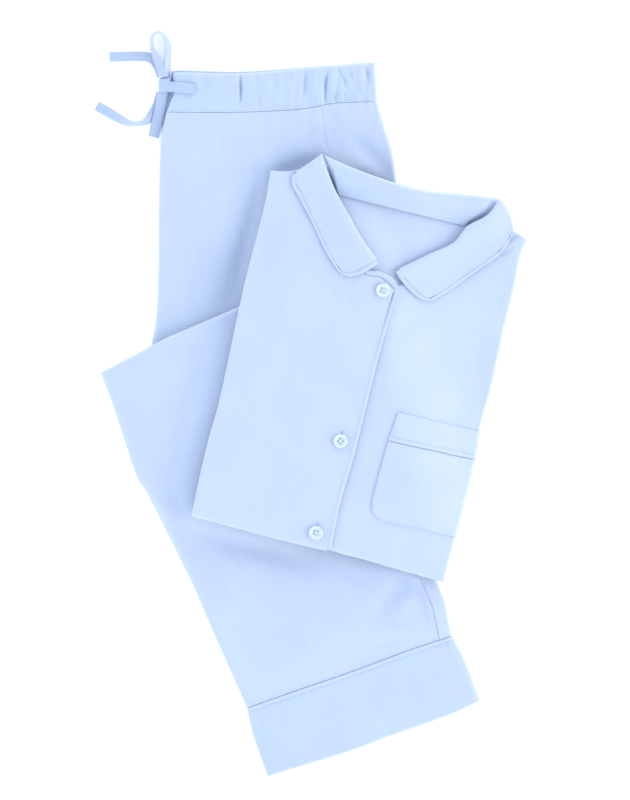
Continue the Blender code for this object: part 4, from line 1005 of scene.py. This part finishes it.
def collar_leaf(side, leaf, roll, under):
    """A leaf with its piping and stitches, turned over onto its front."""

    def leaf_top(x, y):
        """Highest along the roll and at the shoulder end, flat at the outer edge and the tip."""
        near, share, _ = near_line(roll, x, y)
        rise = (ROLL_RISE + SHOULDER_RISE * (1 - share) ** 1.4) * fall(near - 1, ROLL_REACH)
        return under(x, y) + LEAF_LIFT + rise

    piped = edge(TURNED, 0.8, 0.4, IN)
    piece = cloth("collar_leaf_cloth_" + side, "collar_leaf_" + side, leaf, leaf_top,
                  (edge(FOLDED, 3.6, 3.8), piped, 1.6), (edge(TURNED, 3.0, 2.6), piped, 1.6),
                  shirt_cotton, floor=raised(under, 0.8))
    in_u, in_v = 1 - (PIPING - 0.2) / leaf.wide, 1 - (PIPING - 0.2) / leaf.long
    downs, backs = 0.02 + 0.98 * np.arange(11) / 10, 1 - 0.96 * np.arange(1, 6) / 5
    inner = curve(np.concatenate([leaf.at(in_u, downs * in_v), leaf.at(backs * in_u, in_v)]))
    outer = curve(np.concatenate([leaf.at(1, downs), leaf.at(backs, 1)]))
    strip = pipe("collar_piping_strip_" + side, "collar_piping_" + side, inner, outer,
                 raised(leaf_top, -1.2))
    sewn_u, sewn_v = 1 - (IN + 1.5) / leaf.wide, 1 - (IN + 1.5) / leaf.long
    sew("collar_stitches_" + side, [on_patch(leaf, leaf_top, (sewn_u, sewn_u), (0.06, sewn_v)),
                                    on_patch(leaf, leaf_top, (sewn_u, 0.08), (sewn_v, sewn_v))])


collar_leaf("right", RIGHT_LEAF, RIGHT_ROLL, front_top)
collar_leaf("left", LEFT_LEAF, LEFT_ROLL, shirt_top)

# ---- Pocket -------------------------------------------------------------------------------------
# A patch pocket on the left front, topstitched on three sides, its mouth a turned band with piping.
# It is sewn flat to the front, and its right side runs into the shirt's fold.

POCKET_RISE, POCKET_BAND = 1.5, 23.0
PIPE_END = POCKET_BAND + PIPING
POCKET = Patch([(77, 6.8), (68, -20), (58, -55), (53, -77), (54, -86), (61, -93)],
               [(153.4, -11.6), (149.9, -34), (140.9, -72), (131.4, -108)],
               [(77, 6.8), (113, -2.4), (153.4, -11.6)],
               [(61, -93), (80, -97), (98, -100), (115, -105), (131.4, -108)])
pocket_top = raised(shirt_top, POCKET_RISE)
patch_edge, seam_edge = edge(TURNED, 0.9, 0.8), edge(TURNED, 0.6, 0.4)
pocket_columns = (patch_edge, edge(TURNED, 3.0, 4.4))
pocket_band = cloth("pocket_mouth_band", "pocket_band", POCKET, pocket_top, pocket_columns,
                    (patch_edge, edge(seam_edge, start=POCKET.long - POCKET_BAND)), shirt_cotton)
pocket_piping = cloth("pocket_piping_strip", "pocket_piping", POCKET, raised(pocket_top, 0.15),
                      pocket_columns, (edge(CORDED, start=POCKET_BAND + SEAM),
                                       edge(CORDED, start=POCKET.long - PIPE_END), PITCH, 5),
                      piping_cotton, 1.8)
pocket_bag = cloth("pocket_pouch", "pocket_bag", POCKET, pocket_top, pocket_columns,
                   (edge(seam_edge, start=PIPE_END + 0.3), patch_edge), shirt_cotton)
in_u, in_v = 1.6 / POCKET.wide, 1.6 / POCKET.long
v_edge = 1 - in_v
pocket_courses = [((in_u, in_u), (0.02, v_edge)), ((in_u, 0.93), (v_edge, v_edge)),
                  ((0.02, 0.93), ((POCKET_BAND - 1.3) / POCKET.long,) * 2),
                  ((0.02, 0.93), ((PIPE_END + 1.1) / POCKET.long,) * 2)]
sew("pocket_stitches", [on_patch(POCKET, pocket_top, us, vs) for us, vs in pocket_courses])

# ---- Buttons and buttonholes --------------------------------------------------------------------
# Three four-hole buttons turned from a pearly polyester, sewn on crosswise with white thread. Each
# goes through a buttonhole worked in satin stitch along the front edge.

BUTTON, BUTTON_AROUND = 12.7, 48
BUTTONS = [(63, 118.5), (24, -20), (1.5, -104)]
BUTTON_TURNS = [0.35, 0.05, 0.6]     # turn of each button's holes about its middle
# Half a section of a button: share of its radius, and height in millimetres
BUTTON_PROFILE = [
    (0.0, 0.0), (0.78, 0.0), (0.9, 0.15), (0.97, 0.5), (1.0, 1.0), (1.0, 1.5), (0.98, 1.95),
    (0.94, 2.3), (0.88, 2.48), (0.81, 2.5), (0.74, 2.38), (0.67, 2.1), (0.6, 1.88), (0.5, 1.78),
    (0.2, 1.7), (0.0, 1.7)]
HOLE, HOLE_OUT, HOLE_AROUND = 0.8, 1.5, 20      # radius, way from the middle along and across
HOLE_PROFILE = [(1, -1), (1, 1.55), (1.35, 1.85), (1.6, 3.4)]       # a drill that flares at the top
# Thread between two holes: share of the way, height, and how much of the lift it takes
THREAD_ARCH = [(0, 0.5, 0), (0.07, 1.85, 0.4), (0.5, 2.15, 1), (0.93, 1.85, 0.4), (1, 0.5, 0)]
HOLES_APART, THREAD_BESIDE, THREAD_RADIUS = 4.2, 0.22, 0.24
# Pressed polyester with a pearl filler: cloudy, slightly glossy, paler than the cloth
pearl = mottled("pearl_polyester", "B9C8C4", "D9E3DF",
                {"Scale": 170.0, "Detail": 3.0, "Distortion": 1.4},
                {"Roughness": 0.25, "Coat Weight": 0.3, "Coat Roughness": 0.1})
# The buttons' thread: the same twist, undyed
white_thread = mottled("white_button_thread", "C6D0D2", "DDE4E5", TWIST, THREAD_FINISH)


def circle(x, y, z, radius, count):
    """A level ring of points about a centre."""
    turn = turns(count)
    return np.stack([x + radius * np.cos(turn), y + radius * np.sin(turn), np.full(count, z)], -1)


def rod(points, radius, around=8):
    """Rings of a thin round rod along points, drawn in at its ends."""
    path = curve(points)(np.linspace(0, 1, 9))
    ahead = unit(np.gradient(path, axis=0))
    flat = unit(np.cross((0.013, 0.021, 1), ahead))
    up = np.cross(ahead, flat)
    turn = turns(around)
    swell = np.array([0.5, 0.85] + [1] * 5 + [0.85, 0.5])[:, None, None]
    around_it = flat[:, None] * np.cos(turn)[:, None] + up[:, None] * np.sin(turn)[:, None]
    return path[:, None] + radius * swell * around_it


rods = []
for number, ((bx, by), lean) in enumerate(zip(BUTTONS, BUTTON_TURNS), 1):
    ox, oy = np.meshgrid((-6, 0, 6), (-6, 0, 6))
    seat = float(front_top(bx + ox, by + oy).max()) + 0.4
    rings = [circle(bx, by, seat + up, max(out, 0.01) * BUTTON / 2, BUTTON_AROUND)
             for out, up in BUTTON_PROFILE]
    button = tubes("button_disc_%d" % number, [rings], pearl, sharp=60)
    holes = [(bx + HOLE_OUT * math.sqrt(2) * math.cos(lean + k * math.pi / 2),
              by + HOLE_OUT * math.sqrt(2) * math.sin(lean + k * math.pi / 2)) for k in range(4)]
    drill = tubes("button_drill", [[circle(hx, hy, seat + up, HOLE * wide, HOLE_AROUND)
                                    for wide, up in HOLE_PROFILE] for hx, hy in holes], pearl)
    cut_out = button.modifiers.new("holes", "BOOLEAN")
    cut_out.operation, cut_out.object, cut_out.solver = "DIFFERENCE", drill, "EXACT"
    baked(button)
    bpy.data.objects.remove(drill)
    button.data.set_sharp_from_angle(angle=math.radians(40))
    dress(button, ["button_%d" % number])
    for a, b, lift in ((0, 2, 0.0), (1, 3, 0.35)):
        for side in (-THREAD_BESIDE, THREAD_BESIDE):
            start, end = np.array(holes[a]), np.array(holes[b])
            beside = np.array([start[1] - end[1], end[0] - start[0]]) / HOLES_APART * side
            rods.append(rod([(*(start + (end - start) * share + beside), seat + (up + lift * part))
                             for share, up, part in THREAD_ARCH], THREAD_RADIUS))
dress(tubes("button_threads", rods, white_thread, sharp=80), [])

HOLE_LONG, HOLE_WIDE = 8.2, 0.85     # half a buttonhole, between the middles of its stitches
worked = []
ahead = unit(np.array([0.26, 1.0]))
side = np.array([ahead[1], -ahead[0]])
turn = np.linspace(0, math.tau, 41)[:, None]
for bx, by in BUTTONS:
    down = HOLE_LONG * ahead * boxy(np.sin(turn), 0.7)
    loop = (bx, by + 1.6) + down + HOLE_WIDE * side * np.cos(turn)
    worked.append(np.column_stack([loop, front_top(loop[:, 0], loop[:, 1]) + 0.1]))
sew("buttonhole_stitches", worked, 0.36, 0.42, 1.2, 0.4)
